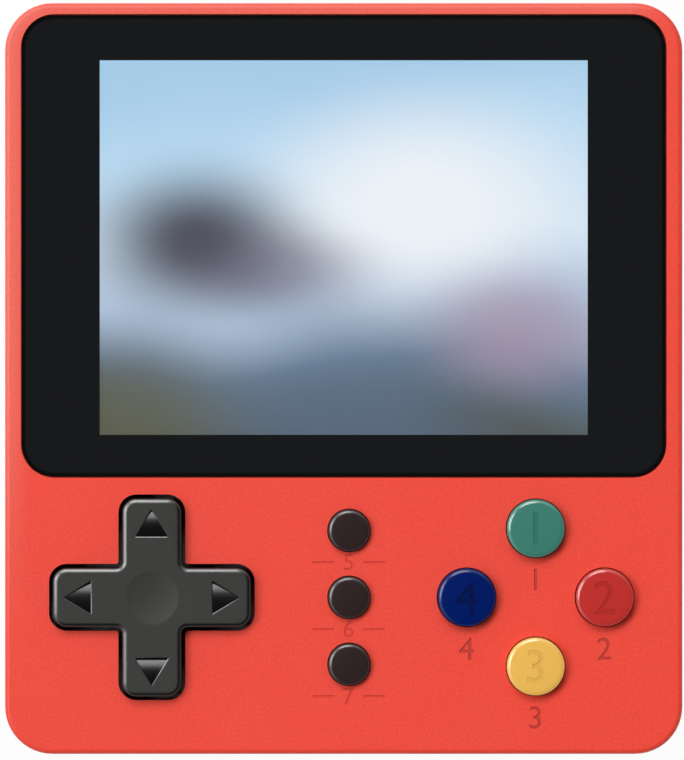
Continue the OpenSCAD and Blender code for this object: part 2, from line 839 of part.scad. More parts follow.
// Hollow push button with a flange, a plunger and a key tab
module push_button(r, edge_r, dome_r, top_z) {
    hollow_z = face_z - cap_wall;
    rotate_extrude() polygon(concat(cap_points(r, edge_r, dome_r, top_z), [
        [r, flange_z + flange_t], [r + flange_w, flange_z + flange_t], [r + flange_w, flange_z],
        [r - cap_wall, flange_z], [r - cap_wall, hollow_z], [plunger_r, hollow_z],
        [plunger_r, flange_z], [0, flange_z]
    ]));
    translate([-key_tab_w / 2, r + flange_w - key_tab_root, flange_z])
        cube([key_tab_w, key_tab_root + key_tab_l, flange_t]);
}

module key(place) {
    translate([control_x + place.x, control_y + place.y, 0])
        push_button(key_d / 2, key_edge_r, key_dome_r, face_z + key_rise);
}

module menu_key(place) {
    translate([menu_x + place.x, control_y + place.y, 0])
        push_button(menu_d / 2, menu_edge_r, menu_dome_r, face_z + menu_rise);
}

module green_button() color("#3f8a74") key(key_places[0]);
module blue_button() color("#0a1c66") key(key_places[1]);
module red_button() color("#c03532") key(key_places[2]);
module yellow_button() color("#ecbb5c") key(key_places[3]);
module reset_button() color("#2c2525") menu_key(menu_places[0]);
module select_button() color("#2c2525") menu_key(menu_places[1]);
module start_button() color("#2c2525") menu_key(menu_places[2]);

module contact_pills() color("#1a1a1a") {
    at_dpad() for (a = [0:90:270]) rotate(a) translate([0, dpad_dome_out, 0])
        rod(dpad_dome_top_r - pill_in, board_z1 + dpad_press, board_z1 + dpad_press + pill_t);
    at_keys() rod(key_dome_top_r - pill_in, board_z1 + key_travel, board_z1 + key_travel + pill_t);
    at_menu() rod(menu_dome_top_r - pill_in, board_z1 + menu_travel, board_z1 + menu_travel + pill_t);
}

// Two half discs that a pill bridges
module contact_pair(r) {
    translate([0, 0, board_z1]) linear_extrude(pad_t) difference() {
        circle(r);
        square([pad_slit, 3 * r], center = true);
    }
}

module contact_pads() color("#c9a227") {
    at_dpad() for (a = [0:90:270]) rotate(a) translate([0, dpad_dome_out, 0]) contact_pair(dpad_dome_top_r);
    at_keys() contact_pair(key_dome_top_r);
    at_menu() contact_pair(menu_dome_top_r);
}

module main_board() color("#1f6b45") difference() {
    slab(inner_w - 2 * board_play, inner_h - 2 * board_play, inner_r, board_z0, board_z1);
    at_case_bosses() rod(boss_r + board_play, board_z0 - over, board_z1 + over);
    at_board_bosses() rod(board_hole_r, board_z0 - over, board_z1 + over);
}

module processor() color("#151515") translate([blob_at.x, blob_at.y, board_z0]) {
    r = (pow(blob_r, 2) + pow(blob_h, 2)) / (2 * blob_h);
    intersection() {
        translate([0, 0, r - blob_h]) sphere(r);
        rod(blob_r + over, -blob_h - over, 0);
    }
}

module memory_chip() color("#1c1c1e") translate([chip_at.x, chip_at.y, board_z0 - chip_size.z / 2])
    cube(chip_size, center = true);

module crystal() color("#c4c6c8") translate([crystal_at.x, crystal_at.y, 0])
    slab(crystal_l, crystal_w, crystal_w / 2 - eps, board_z0 - crystal_h, board_z0);

module capacitors() color("#b9bcc4") for (i = [0:can_count - 1])
    translate([can_at.x + i * can_pitch, can_at.y, 0]) rod(can_r, board_z0 - can_h, board_z0);

module speaker_gasket() color("#2a2a2a") translate([0, speaker_y, 0])
    tube(speaker_r, speaker_r - speaker_rim, back_t, speaker_z);

module speaker_basket() color("#9a9da1") translate([0, speaker_y, speaker_z]) rotate_extrude() polygon([
    [speaker_r - speaker_rim, 0], [speaker_r, 0], [speaker_r, speaker_rim_t],
    [speaker_r - speaker_rim + speaker_sheet, speaker_rim_t], [magnet_r + 2 * speaker_sheet, speaker_deep],
    [0, speaker_deep], [0, speaker_deep - speaker_sheet],
    [magnet_r + speaker_sheet, speaker_deep - speaker_sheet], [speaker_r - speaker_rim, speaker_sheet]
]);

module speaker_cone() color("#23211f") translate([0, speaker_y, speaker_z]) {
    edge = speaker_r - speaker_rim - cone_gap;
    cap = speaker_r / 4;
    rotate_extrude() polygon([
        [edge, 0], [edge, cone_t], [cap, cone_z + cone_t], [0, cap_z + cone_t], [0, cap_z], [cap, cone_z]
    ]);
}

module speaker_magnet() color("#6f7276") translate([0, speaker_y, 0])
    rod(magnet_r, speaker_z + speaker_deep, speaker_z + speaker_deep + magnet_t);

// One lead: up from the speaker rim, across, and up to the board
module lead(z0, z1) {
    turn_z = z0 + wire_rise;
    rod(wire_r, z0, turn_z);
    translate([0, -wire_bend, turn_z]) rotate([90, 0, 90]) rotate_extrude(angle = 90)
        translate([wire_bend, 0]) circle(wire_r);
    translate([0, -wire_bend, turn_z + wire_bend]) rotate([90, 0, 0]) cylinder(r = wire_r, h = wire_run);
    translate([0, -wire_bend - wire_run, turn_z + 2 * wire_bend]) rotate([90, 0, 90])
        rotate([0, 0, 180]) rotate_extrude(angle = 90) translate([wire_bend, 0]) circle(wire_r);
    translate([0, -2 * wire_bend - wire_run, 0]) rod(wire_r, turn_z + 2 * wire_bend, z1);
}

module speaker_wires() color("#b32a24") for (s = [-1, 1])
    translate([s * wire_gap / 2, speaker_y - speaker_r + speaker_rim / 2, 0])
        lead(speaker_z + speaker_rim_t, board_z0);

module battery() color("#d8dadc") translate([battery_x, bay_y, 0])
    slab(battery_w, battery_h, battery_r, battery_z, battery_z + battery_t);

module at_terminals() {
    for (i = [0:terminal_count - 1])
        translate([battery_x + battery_w / 2, bay_y + (i - (terminal_count - 1) / 2) * terminal_pitch,
            battery_z + battery_t / 2]) children();
}

module battery_terminals() color("#d2ad45") at_terminals()
    translate([0, -terminal_w / 2, -terminal_h / 2]) cube([terminal_t, terminal_w, terminal_h]);

module contact_block() color("#1d1d1f") {
    z0 = battery_z + block_rise;
    translate([bay_w / 2 - fit_gap - block_w, bay_y - block_l / 2, z0])
        cube([block_w, block_l, board_z0 - z0]);
}

// Bowed blades between the block and the battery's terminals
module contact_springs() color("#d2ad45") {
    block_x = bay_w / 2 - fit_gap - block_w - battery_x - battery_w / 2;
    at_terminals() translate([block_x, spring_w / 2, 0]) rotate([90, 0, 0])
        linear_extrude(spring_w) intersection() {
        translate([spring_r - spring_bow, 0]) difference() {
            circle(spring_r);
            circle(spring_r - spring_t);
        }
        translate([-spring_r, -spring_r]) square([spring_r, 2 * spring_r]);
    }
}

module av_jack() color("#1b1b1d") translate([-jack_x, 0, jack_z]) difference() {
    union() {
        translate([-jack_w / 2, jack_end_y, -jack_h / 2]) cube([jack_w, jack_front_y - jack_end_y, jack_h]);
        translate([0, jack_front_y - eps, 0]) rotate([-90, 0, 0])
            cylinder(r = jack_nose_r, h = jack_mouth_y - jack_front_y + eps);
    }
    translate([0, jack_mouth_y + over, 0]) rotate([90, 0, 0])
        cylinder(r = jack_bore_d / 2, h = jack_depth + over);
}

// Socket outline, narrower on the side away from the board
module usb_outline(grow) {
    w = usb_w / 2 + grow;
    h = usb_h / 2 + grow;
    polygon([[-w, h], [w, h], [w, 0], [w - usb_taper, -h], [-w + usb_taper, -h], [-w, 0]]);
}

module at_usb() {
    translate([usb_x, body_h / 2 - usb_in, board_z0 - usb_h / 2]) rotate([90, 0, 0]) children();
}

module usb_socket() color("#c2c4c6") at_usb() difference() {
    linear_extrude(usb_l) usb_outline(0);
    translate([0, 0, -over]) linear_extrude(usb_l - usb_sheet + over) usb_outline(-usb_sheet);
}

module usb_tongue() color("#202022") at_usb() translate([0, 0, usb_l - usb_sheet - usb_tongue_l / 2])
    cube([usb_tongue_w, usb_tongue_t, usb_tongue_l], center = true);

module volume_pot() color("#2a2a2c") translate([wheel_x, side_y, 0]) {
    rod(pot_r, board_z0 - pot_t, board_z0);
    rod(shaft_r, wheel_z0 - wheel_gap, board_z0 - pot_t + eps);
    rod(shaft_cap_r, wheel_z0 - wheel_gap - shaft_cap_t, wheel_z0 - wheel_gap + eps);
}

module volume_wheel() color("#2a2a2c") translate([wheel_x, side_y, wheel_z0]) linear_extrude(wheel_t)
    difference() {
        circle(wheel_r);
        circle(shaft_r + shaft_play);
        for (i = [0:notch_count - 1]) rotate(i * 360 / notch_count) translate([wheel_r, 0]) circle(notch_r);
    }

module power_switch() color("#b7babd") difference() {
    slot_l = neck_l + power_travel + 2 * knob_gap;
    slot_h = neck_h + 2 * knob_gap;
    translate([power_x - power_w, side_y - power_l / 2, board_z0 - power_h])
        cube([power_w, power_l, power_h]);
    translate([power_x - neck_deep - knob_gap, side_y - slot_l / 2, power_z - slot_h / 2])
        cube([neck_deep + knob_gap + over, slot_l, slot_h]);
}

// Thumb pad and neck of the switch, drawn in the off position
module power_knob() color("#2a2a2c") translate([0, side_y - power_travel / 2, power_z]) difference() {
    pad_x = body_w / 2 - scoop_depth + knob_in;
    pad_end = body_w / 2 - knob_in;
    union() {
        translate([pad_x, -knob_l / 2, -knob_h / 2]) cube([pad_end - pad_x, knob_l, knob_h]);
        translate([power_x - neck_deep, -neck_l / 2, -neck_h / 2])
            cube([pad_x - power_x + neck_deep + eps, neck_l, neck_h]);
    }
    for (i = [-1, 0, 1]) translate([pad_end, i * knob_rib_pitch, -knob_h])
        cylinder(r = knob_rib / 2, h = 2 * knob_h);
}

// Cross-headed screw with its head at the bottom, head seat at seat_z
module screw(r, head_r, head_t, seat_z, end_z) {
    difference() {
        union() {
            rod(head_r, seat_z - head_t, seat_z);
            rod(r, seat_z - eps, end_z);
        }
        for (a = [0, 90]) rotate(a) translate([0, 0, seat_z - head_t + (drive_depth - over) / 2])
            cube([drive_l, drive_w, drive_depth + over], center = true);
    }
}

module case_screws() color("#3a3b3d") at_case_bosses()
    screw(screw_r, head_r, head_t, head_seat_z, screw_end_z);

module board_screws() color("#9b9ea2") at_board_bosses()
    screw(board_screw_r, board_head_r, board_head_t, board_z0, board_z1 + board_screw_grip);

front_shell();
rear_shell();
battery_door();
screen_lens();
lens_mask();
lens_tape();
lcd_gasket();
lcd_glass();
lcd_backlight();
lcd_frame();
lcd_foam();
lcd_flex();
dpad();
dpad_ball();
dpad_post();
dpad_membrane();
green_button();
blue_button();
red_button();
yellow_button();
face_membrane();
reset_button();
select_button();
start_button();
menu_membrane();
contact_pills();
contact_pads();
main_board();
processor();
memory_chip();
crystal();
capacitors();
speaker_gasket();
speaker_cone();
speaker_basket();
speaker_magnet();
speaker_wires();
battery();
battery_terminals();
contact_block();
contact_springs();
av_jack();
usb_socket();
usb_tongue();
volume_pot();
volume_wheel();
power_switch();
power_knob();
case_screws();
board_screws();
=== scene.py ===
# %% [markdown]
# # Dressing a pocket game console
# The CAD model holds every piece of this console at its real size. In this lesson it stays as a fixed
# frame, and Blender adds what a CAD solid lacks: moulded grain, gloss, a lit picture, soft edges and
# engraved numbers. Lengths are in metres, as everywhere in Blender, so a size in millimetres is written
# as a number times MM.

# %% Load the frame
import json
import math

import bmesh
import bpy
from mathutils import Matrix, Vector


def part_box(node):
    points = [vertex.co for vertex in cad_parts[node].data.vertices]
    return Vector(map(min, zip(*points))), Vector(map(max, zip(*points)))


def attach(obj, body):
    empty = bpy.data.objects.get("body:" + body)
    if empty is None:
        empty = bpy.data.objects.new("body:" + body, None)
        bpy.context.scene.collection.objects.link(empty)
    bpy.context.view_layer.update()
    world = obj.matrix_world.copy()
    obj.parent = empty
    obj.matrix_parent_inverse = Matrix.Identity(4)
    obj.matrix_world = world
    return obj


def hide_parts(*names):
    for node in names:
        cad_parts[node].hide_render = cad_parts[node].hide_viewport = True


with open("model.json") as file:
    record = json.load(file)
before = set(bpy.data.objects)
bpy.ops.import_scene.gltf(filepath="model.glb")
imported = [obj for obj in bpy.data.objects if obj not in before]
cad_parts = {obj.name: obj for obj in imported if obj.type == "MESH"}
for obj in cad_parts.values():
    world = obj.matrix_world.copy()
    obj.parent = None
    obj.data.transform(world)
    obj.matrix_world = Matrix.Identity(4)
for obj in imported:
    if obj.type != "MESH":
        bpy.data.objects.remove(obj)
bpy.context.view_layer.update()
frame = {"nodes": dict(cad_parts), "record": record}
nodes = frame["nodes"]
scene = bpy.context.scene
MM = 0.001
FACE_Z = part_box("front_shell")[1].z
print("pieces in the frame:", len(nodes), "- face of the case at", round(FACE_Z / MM, 2), "mm")

# %% [markdown]
# ## The camera
# A catalogue picture of a console is taken straight down on its face from far away, so that parallel
# edges stay parallel. An orthographic camera would do the same, but a long lens keeps a little true
# perspective and also frames the other views well. The lens follows from the distance and from how much
# of the face one pixel covers.

# %% Camera straight above the face
IMAGE_HEIGHT = 760
PIXEL = 0.1225 * MM
CAMERA_DISTANCE = 1.5
AIM = Vector((-0.21 * MM, -0.18 * MM, FACE_Z))
camera_data = bpy.data.cameras.new("portrait_camera")
camera_data.lens = camera_data.sensor_width * CAMERA_DISTANCE / (IMAGE_HEIGHT * PIXEL)
camera = bpy.data.objects.new("portrait_camera", camera_data)
camera.location = AIM + Vector((0, 0, CAMERA_DISTANCE))
scene.collection.objects.link(camera)
scene.camera = camera
scene.view_settings.view_transform = "Standard"
print("lens:", round(camera_data.lens), "mm at", CAMERA_DISTANCE, "m")

# %% [markdown]
# ## Helpers for shader nodes
# Every finish below is a small graph of nodes. Writing one call for each node, with its values and its
# incoming links side by side, keeps such a graph readable. A value that is a socket becomes a link.
# Colours are written as on a paint chart, and are made linear because a shader reckons with light.

# %% Node helpers
MIX_FACTOR, MIX_A, MIX_B, MIX_RESULT = 0, 6, 7, 2


def add(tree, kind, inputs=None, **settings):
    node = tree.nodes.new(kind)
    for name, value in settings.items():
        setattr(node, name, value)
    for name, value in (inputs or {}).items():
        if isinstance(value, bpy.types.NodeSocket):
            tree.links.new(value, node.inputs[name])
        else:
            node.inputs[name].default_value = value
    return node


def math_node(tree, operation, *values):
    return add(tree, "ShaderNodeMath", dict(enumerate(values)), operation=operation).outputs[0]


def vector_node(tree, operation, *values):
    """The vector that an operation gives, or the number for a length or a dot product."""
    node = add(tree, "ShaderNodeVectorMath", dict(enumerate(values)), operation=operation)
    return node.outputs["Value" if operation in ("LENGTH", "DOT_PRODUCT") else "Vector"]


def mix_colour(tree, factor, below, above):
    inputs = {MIX_FACTOR: factor, MIX_A: below, MIX_B: above}
    return add(tree, "ShaderNodeMix", inputs, data_type="RGBA").outputs[MIX_RESULT]


def ramp(tree, value, start, end, low=0.0, high=1.0):
    """A soft step from low to high while value goes from start to end."""
    inputs = {"Value": value, "From Min": start, "From Max": end, "To Min": low, "To Max": high}
    return add(tree, "ShaderNodeMapRange", inputs, interpolation_type="SMOOTHSTEP").outputs[0]


def paint(red, green, blue):
    """A colour as a paint chart gives it, 0 to 255, made linear for the shader."""
    def linear(c):
        c = c / 255
        return c / 12.92 if c <= 0.04045 else ((c + 0.055) / 1.055) ** 2.4
    return (linear(red), linear(green), linear(blue), 1.0)


CASE_RED = paint(233, 65, 46)
print("red of the case, linear:", [round(c, 3) for c in CASE_RED])

# %% [markdown]
# ## The lamps
# The light edges of the cross and the buttons all lie at the upper left, and no piece throws a hard
# shadow. So two large soft lamps stand there, far enough to the side that the flat screen doesn't mirror
# them into the camera.

# %% Two soft lamps
LAMP_SIZE, LAMP_WATTS = 0.66, 7.6


def soft_lamp(name, place):
    data = bpy.data.lights.new(name, "AREA")
    data.shape, data.size, data.energy = "DISK", LAMP_SIZE, LAMP_WATTS
    lamp = bpy.data.objects.new(name, data)
    lamp.location = place
    lamp.rotation_euler = (AIM - lamp.location).to_track_quat("-Z", "Y").to_euler()
    lamp.visible_camera = False
    scene.collection.objects.link(lamp)


soft_lamp("left_lamp", Vector((-0.78, 0.20, 1.30)))
soft_lamp("top_lamp", Vector((-0.20, 0.80, 1.30)))

# %% [markdown]
# ## The room
# Gloss needs something to mirror. Well above the horizon, along the left and far sides of this room, runs
# a bright band, which sloped edges pick up as a soft line of light. Across from it, and overhead, the room
# is dark like a black flag, because the flat screen mirrors the ceiling when it is seen from above. Near
# the horizon it is an even grey all round, so that the picture stays clear when it is seen from low down.
# The room goes on below the floor, and lights the back when that is looked at.

# %% Room of soft steps
ROOM_CEILING, ROOM_DIM, ROOM_BRIGHT, ROOM_LOW, ROOM_BELOW = 0.03, 0.03, 2.2, 0.45, 0.75
BAND_START, BAND_RISEN, BAND_FULL, BAND_END = 0.56, 0.68, 0.78, 0.89
BRIGHT_SIDE, SIDE_DIM, SIDE_BRIGHT = (-0.7, 0.7, 0.0), -0.3, 0.4
UNDER_HORIZON, HORIZON = -0.15, 0.0
world = bpy.data.worlds.new("studio_room")
world.use_nodes = True
room = world.node_tree
room.nodes.clear()
direction = add(room, "ShaderNodeTexCoord").outputs["Generated"]
height = add(room, "ShaderNodeSeparateXYZ", {0: direction}).outputs["Z"]
side = vector_node(room, "DOT_PRODUCT", direction, BRIGHT_SIDE)
wall = ramp(room, side, SIDE_DIM, SIDE_BRIGHT, ROOM_DIM, ROOM_BRIGHT)
low = ramp(room, height, UNDER_HORIZON, HORIZON, ROOM_BELOW, ROOM_LOW)
band = ramp(room, height, BAND_START, BAND_RISEN, low, wall)
level = ramp(room, height, BAND_FULL, BAND_END, band, ROOM_CEILING)
glow = add(room, "ShaderNodeBackground", {"Color": level, "Strength": 1.0})
add(room, "ShaderNodeOutputWorld", {"Surface": glow.outputs[0]})
scene.world = world
print("brightest part of the room:", ROOM_BRIGHT, "- darkest:", ROOM_DIM)

# %% [markdown]
# ## The floor
# The console lies on a white sheet. The camera, and rays that glass or gloss sends on, see the sheet as
# nearly plain white, while part of its real shading stays so that the shadow of the case is kept. Seen
# from below the sheet is clear, so that the back of the console can be looked at. It is clear, too, for
# rays that start right above it, under the case, so that the room below lights the back.

# %% White floor
FLOOR_REACH, FLOOR_DROP, FLOOR_WHITE, CONTACT_GAP = 6.0, 0.05 * MM, 0.955, 0.8 * MM
FLOOR_TONE = (0.86, 0.86, 0.86, 1)
sheet = bmesh.new()
bmesh.ops.create_grid(sheet, x_segments=1, y_segments=1, size=FLOOR_REACH)
bmesh.ops.translate(sheet, vec=(0, 0, -FLOOR_DROP), verts=sheet.verts)
floor_mesh = bpy.data.meshes.new("studio_floor")
sheet.to_mesh(floor_mesh)
sheet.free()
floor = bpy.data.objects.new("studio_floor", floor_mesh)
scene.collection.objects.link(floor)
floor_finish = bpy.data.materials.new("floor_white")
floor_finish.use_nodes = True
tree = floor_finish.node_tree
tree.nodes.clear()
matt = add(tree, "ShaderNodeBsdfDiffuse", {"Color": FLOOR_TONE})
white = add(tree, "ShaderNodeEmission", {"Color": (1, 1, 1, 1), "Strength": 1.0})
clear = add(tree, "ShaderNodeBsdfTransparent")
rays = add(tree, "ShaderNodeLightPath").outputs
seen = math_node(tree, "MAXIMUM", rays["Is Camera Ray"], rays["Is Glossy Ray"])
seen = math_node(tree, "MAXIMUM", seen, rays["Is Transmission Ray"])
share = math_node(tree, "MULTIPLY", seen, FLOOR_WHITE)
top = add(tree, "ShaderNodeMixShader", {0: share, 1: matt.outputs[0], 2: white.outputs[0]})
below = add(tree, "ShaderNodeNewGeometry").outputs["Backfacing"]
under_case = math_node(tree, "LESS_THAN", rays["Ray Length"], CONTACT_GAP)
open_floor = math_node(tree, "MAXIMUM", below, under_case)
both = add(tree, "ShaderNodeMixShader", {0: open_floor, 1: top.outputs[0], 2: clear.outputs[0]})
add(tree, "ShaderNodeOutputMaterial", {"Surface": both.outputs[0]})
floor_mesh.materials.append(floor_finish)
print("floor", 2 * FLOOR_REACH, "m wide")

# %% [markdown]
# ## Grain of moulded plastic
# A mould is spark-eroded or blasted, so the plastic that comes out of it has a fine grain that scatters
# light. The group below gives that grain as a height for a Bump node, a slight change of tone from grain
# to grain, and a slow drift of gloss over the surface. It is built once, and each plastic places it with
# its own numbers.

# %% Shared group: moulded grain
GRAIN_INPUTS = [("Color", "Color"), ("Scale", "Float"), ("Tint", "Float"), ("Roughness", "Float"),
                ("Drift", "Float")]
GRAIN_OUTPUTS = [("Color", "Color"), ("Roughness", "Float"), ("Height", "Float")]
BROAD_SHARE = 0.03


def new_group(name, inputs, outputs):
    tree = bpy.data.node_groups.new(name, "ShaderNodeTree")
    for label, kind in inputs:
        tree.interface.new_socket(name=label, in_out="INPUT", socket_type="NodeSocket" + kind)
    for label, kind in outputs:
        tree.interface.new_socket(name=label, in_out="OUTPUT", socket_type="NodeSocket" + kind)
    return tree, tree.nodes.new("NodeGroupInput").outputs


def noise(tree, spot, scale, detail):
    return add(tree, "ShaderNodeTexNoise", {"Vector": spot, "Scale": scale, "Detail": detail}).outputs[0]


def vary(tree, pattern, amount, centre):
    """centre plus the pattern, swung evenly about its middle by amount."""
    return math_node(tree, "MULTIPLY_ADD", math_node(tree, "SUBTRACT", pattern, 0.5), amount, centre)


def toned(tree, colour, value):
    return add(tree, "ShaderNodeHueSaturation", {"Color": colour, "Value": value}).outputs[0]


grain_group, given = new_group("moulded_grain", GRAIN_INPUTS, GRAIN_OUTPUTS)
spot = add(grain_group, "ShaderNodeTexCoord").outputs["Object"]
fine = noise(grain_group, spot, given["Scale"], 3.0)
broad_scale = math_node(grain_group, "MULTIPLY", given["Scale"], BROAD_SHARE)
broad = noise(grain_group, spot, broad_scale, 2.0)
add(grain_group, "NodeGroupOutput", {
    "Color": toned(grain_group, given["Color"], vary(grain_group, fine, given["Tint"], 1.0)),
    "Roughness": vary(grain_group, broad, given["Drift"], given["Roughness"]),
    "Height": fine,
})
print("group:", grain_group.name)

# %% [markdown]
# ## Brushed and rolled metal
# Rolled sheet and turned screws carry fine lines along one direction. Noise that is stretched along that
# direction gives them: one axis of its coordinates is scaled down, so that each spot becomes a streak.

# %% Shared group: streaked metal
STREAK = (0.04, 1.0, 1.0)
metal_group, given = new_group("streaked_metal", GRAIN_INPUTS, GRAIN_OUTPUTS)
spot = add(metal_group, "ShaderNodeTexCoord").outputs["Object"]
streak = add(metal_group, "ShaderNodeMapping", {"Vector": spot, "Scale": STREAK}).outputs[0]
fine = noise(metal_group, streak, given["Scale"], 4.0)
add(metal_group, "NodeGroupOutput", {
    "Color": toned(metal_group, given["Color"], vary(metal_group, fine, given["Tint"], 1.0)),
    "Roughness": vary(metal_group, fine, given["Drift"], given["Roughness"]),
    "Height": fine,
})
print("group:", metal_group.name)

# %% [markdown]
# ## Cells of foam and paper
# Foam is a pack of bubbles and paper a felt of fibres. A Voronoi texture divides space into such cells,
# and the distance from each cell's middle serves as its height.

# %% Shared group: cells
cell_group, given = new_group("packed_cells", GRAIN_INPUTS, GRAIN_OUTPUTS)
spot = add(cell_group, "ShaderNodeTexCoord").outputs["Object"]
cells = add(cell_group, "ShaderNodeTexVoronoi", {"Vector": spot, "Scale": given["Scale"]})
cells = cells.outputs["Distance"]
add(cell_group, "NodeGroupOutput", {
    "Color": toned(cell_group, given["Color"], vary(cell_group, cells, given["Tint"], 1.0)),
    "Roughness": vary(cell_group, cells, given["Drift"], given["Roughness"]),
    "Height": cells,
})
print("group:", cell_group.name)

# %% [markdown]
# ## One recipe for all plain finishes
# A finish is a Principled shader that takes its colour, roughness and bump from one of the groups. The
# rest, such as how metallic it is, is the same all over and is set on the shader itself.

# %% Finish recipe
finishes = {}


def finish(name, group, colour, per_mm, tint, roughness, drift, bump, depth, **constants):
    material = bpy.data.materials.new(name)
    material.use_nodes = True
    tree = material.node_tree
    shader = tree.nodes["Principled BSDF"]
    for socket, value in constants.items():
        shader.inputs[socket.replace("_", " ").title().replace("Ior", "IOR")].default_value = value
    look = add(tree, "ShaderNodeGroup", node_tree=group)
    values = {"Color": colour, "Scale": per_mm / MM, "Tint": tint, "Roughness": roughness, "Drift": drift}
    for socket, value in values.items():
        look.inputs[socket].default_value = value
    heights = {"Strength": bump, "Distance": depth * MM, "Height": look.outputs["Height"]}
    relief = add(tree, "ShaderNodeBump", heights)
    tree.links.new(look.outputs["Color"], shader.inputs["Base Color"])
    tree.links.new(look.outputs["Roughness"], shader.inputs["Roughness"])
    tree.links.new(relief.outputs[0], shader.inputs["Normal"])
    finishes[name] = material


print("groups to choose from:", [group.name for group in (grain_group, metal_group, cell_group)])

# %% [markdown]
# ## Plastics
# The case is a matt red with a grain of about a third of a millimetre. The cross is a satin dark grey,
# the three small buttons nearly black, and the four face buttons are moulded in colour and polished. The
# floor of a number cut into a face button is duller, and painted a deeper tone of the same colour as
# painted shade for the recess.

# %% Plastics of the outside
finish("shell_red", grain_group, CASE_RED, 3.0, 0.34, 0.44, 0.10, 0.30, 0.05)
finish("pad_grey", grain_group, paint(55, 55, 53), 4.0, 0.14, 0.24, 0.06, 0.15, 0.02,
       specular_ior_level=1.0)
finish("pad_matt", grain_group, paint(40, 40, 38), 3.0, 0.24, 0.46, 0.08, 0.30, 0.04)
finish("menu_dark", grain_group, paint(44, 32, 31), 4.0, 0.10, 0.20, 0.06, 0.08, 0.02,
       specular_ior_level=0.7)
KEY_LOOKS = {
    "green": ((61, 125, 110), 0.91, 0.8),
    "blue": ((2, 26, 97), 0.76, 0.35),
    "red": ((190, 49, 45), 0.91, 0.7),
    "yellow": ((236, 185, 88), 0.94, 0.8),
}
for name, (chart, recess_shade_share, shine) in KEY_LOOKS.items():
    finish("key_" + name, grain_group, paint(*chart), 3.0, 0.06, 0.14, 0.05, 0.06, 0.02,
           specular_ior_level=shine)
    # The deeper tone of a number's floor is painted shade for the recess.
    deep = [c * recess_shade_share for c in chart]
    finish("mark_" + name, grain_group, paint(*deep), 3.0, 0.06, 0.24, 0.05, 0.10, 0.02,
           specular_ior_level=0.2)
finish("control_dark", grain_group, paint(44, 44, 46), 3.0, 0.12, 0.45, 0.08, 0.20, 0.03)
finish("socket_black", grain_group, paint(30, 30, 32), 3.0, 0.12, 0.42, 0.08, 0.15, 0.03)
finish("label_red", grain_group, paint(188, 44, 31), 4.0, 0.10, 0.55, 0.08, 0.20, 0.03)
finish("label_faint", grain_group, paint(216, 54, 38), 4.0, 0.10, 0.55, 0.08, 0.20, 0.03)
finish("arrow_gloss", grain_group, paint(5, 5, 5), 2.0, 0.20, 0.18, 0.04, 0.03, 0.02)
print("finishes so far:", len(finishes))

# %% [markdown]
# ## A painted sheen on the rim
# The rim along the left and the top is painted a paler red, a painted sheen that stands for the light
# falling on it from the upper left. How far a spot lies inside the rounded outline is found with a few
# vector nodes: the distance from a smaller rectangle, whose corners are the centres of the corner rounds.
# The same helper finds the window in the case and the border of the lens.

# %% Painted sheen: paler red along two sides of the rim
CASE_CORNER = 5.8 * MM
SHEEN_WIDTH, SHEEN_FULL = 3.4 * MM, 0.4 * MM
SHEEN_LEFT_X, SHEEN_LEFT_Y = (-34 * MM, -38 * MM), (-38 * MM, 8 * MM)
SHEEN_TOP_Y, SHEEN_TOP_X, SHEEN_TOP_SHARE = (38 * MM, 43 * MM), (41 * MM, 34 * MM), 0.8
SHEEN_DEEP, SHEEN_HIGH = 4 * MM, 1 * MM


def depth_inside(tree, low, high, corner):
    """Distance from a rounded outline for spots near it, and the coordinates that it came from."""
    middle, half = (low + high) / 2, (high - low) / 2
    place = add(tree, "ShaderNodeTexCoord").outputs["Object"]
    away = vector_node(tree, "ABSOLUTE", vector_node(tree, "SUBTRACT", place, middle))
    away = vector_node(tree, "SUBTRACT", away, (half.x - corner, half.y - corner, 1.0))
    reach = vector_node(tree, "LENGTH", vector_node(tree, "MAXIMUM", away, (0, 0, 0)))
    return math_node(tree, "SUBTRACT", corner, reach), add(tree, "ShaderNodeSeparateXYZ", {0: place}).outputs


def recolour(name, factor, other):
    """Mixes another colour into the one that a finish starts from."""
    tree = finishes[name].node_tree
    look = next(n for n in tree.nodes if n.bl_idname == "ShaderNodeGroup")
    start = look.inputs["Color"]
    own = start.links[0].from_socket if start.is_linked else tuple(start.default_value)
    tree.links.new(mix_colour(tree, factor, own, other), start)


tree = finishes["shell_red"].node_tree
depth, place = depth_inside(tree, *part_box("front_shell"), CASE_CORNER)
strip = ramp(tree, depth, SHEEN_WIDTH, SHEEN_FULL)
left = ramp(tree, place["X"], *SHEEN_LEFT_X)
left = math_node(tree, "MULTIPLY", left, ramp(tree, place["Y"], *SHEEN_LEFT_Y))
top = ramp(tree, place["Y"], *SHEEN_TOP_Y)
top = math_node(tree, "MULTIPLY", top, ramp(tree, place["X"], *SHEEN_TOP_X, 0.0, SHEEN_TOP_SHARE))
sides = math_node(tree, "MULTIPLY", math_node(tree, "MAXIMUM", left, top), strip)
near_face = ramp(tree, place["Z"], FACE_Z - SHEEN_DEEP, FACE_Z - SHEEN_HIGH)
# The paler red mixed in here is a painted sheen on the left and top of the rim.
recolour("shell_red", math_node(tree, "MULTIPLY", sides, near_face), paint(232, 100, 85))
print("the rim pales over", round(SHEEN_WIDTH / MM, 1), "mm")

# %% [markdown]
# The case also has a window under the lens. Its edge would shine red beside the picture, so it is
# blackened: every spot of the red plastic that lies below the lens and well inside its outline turns black.

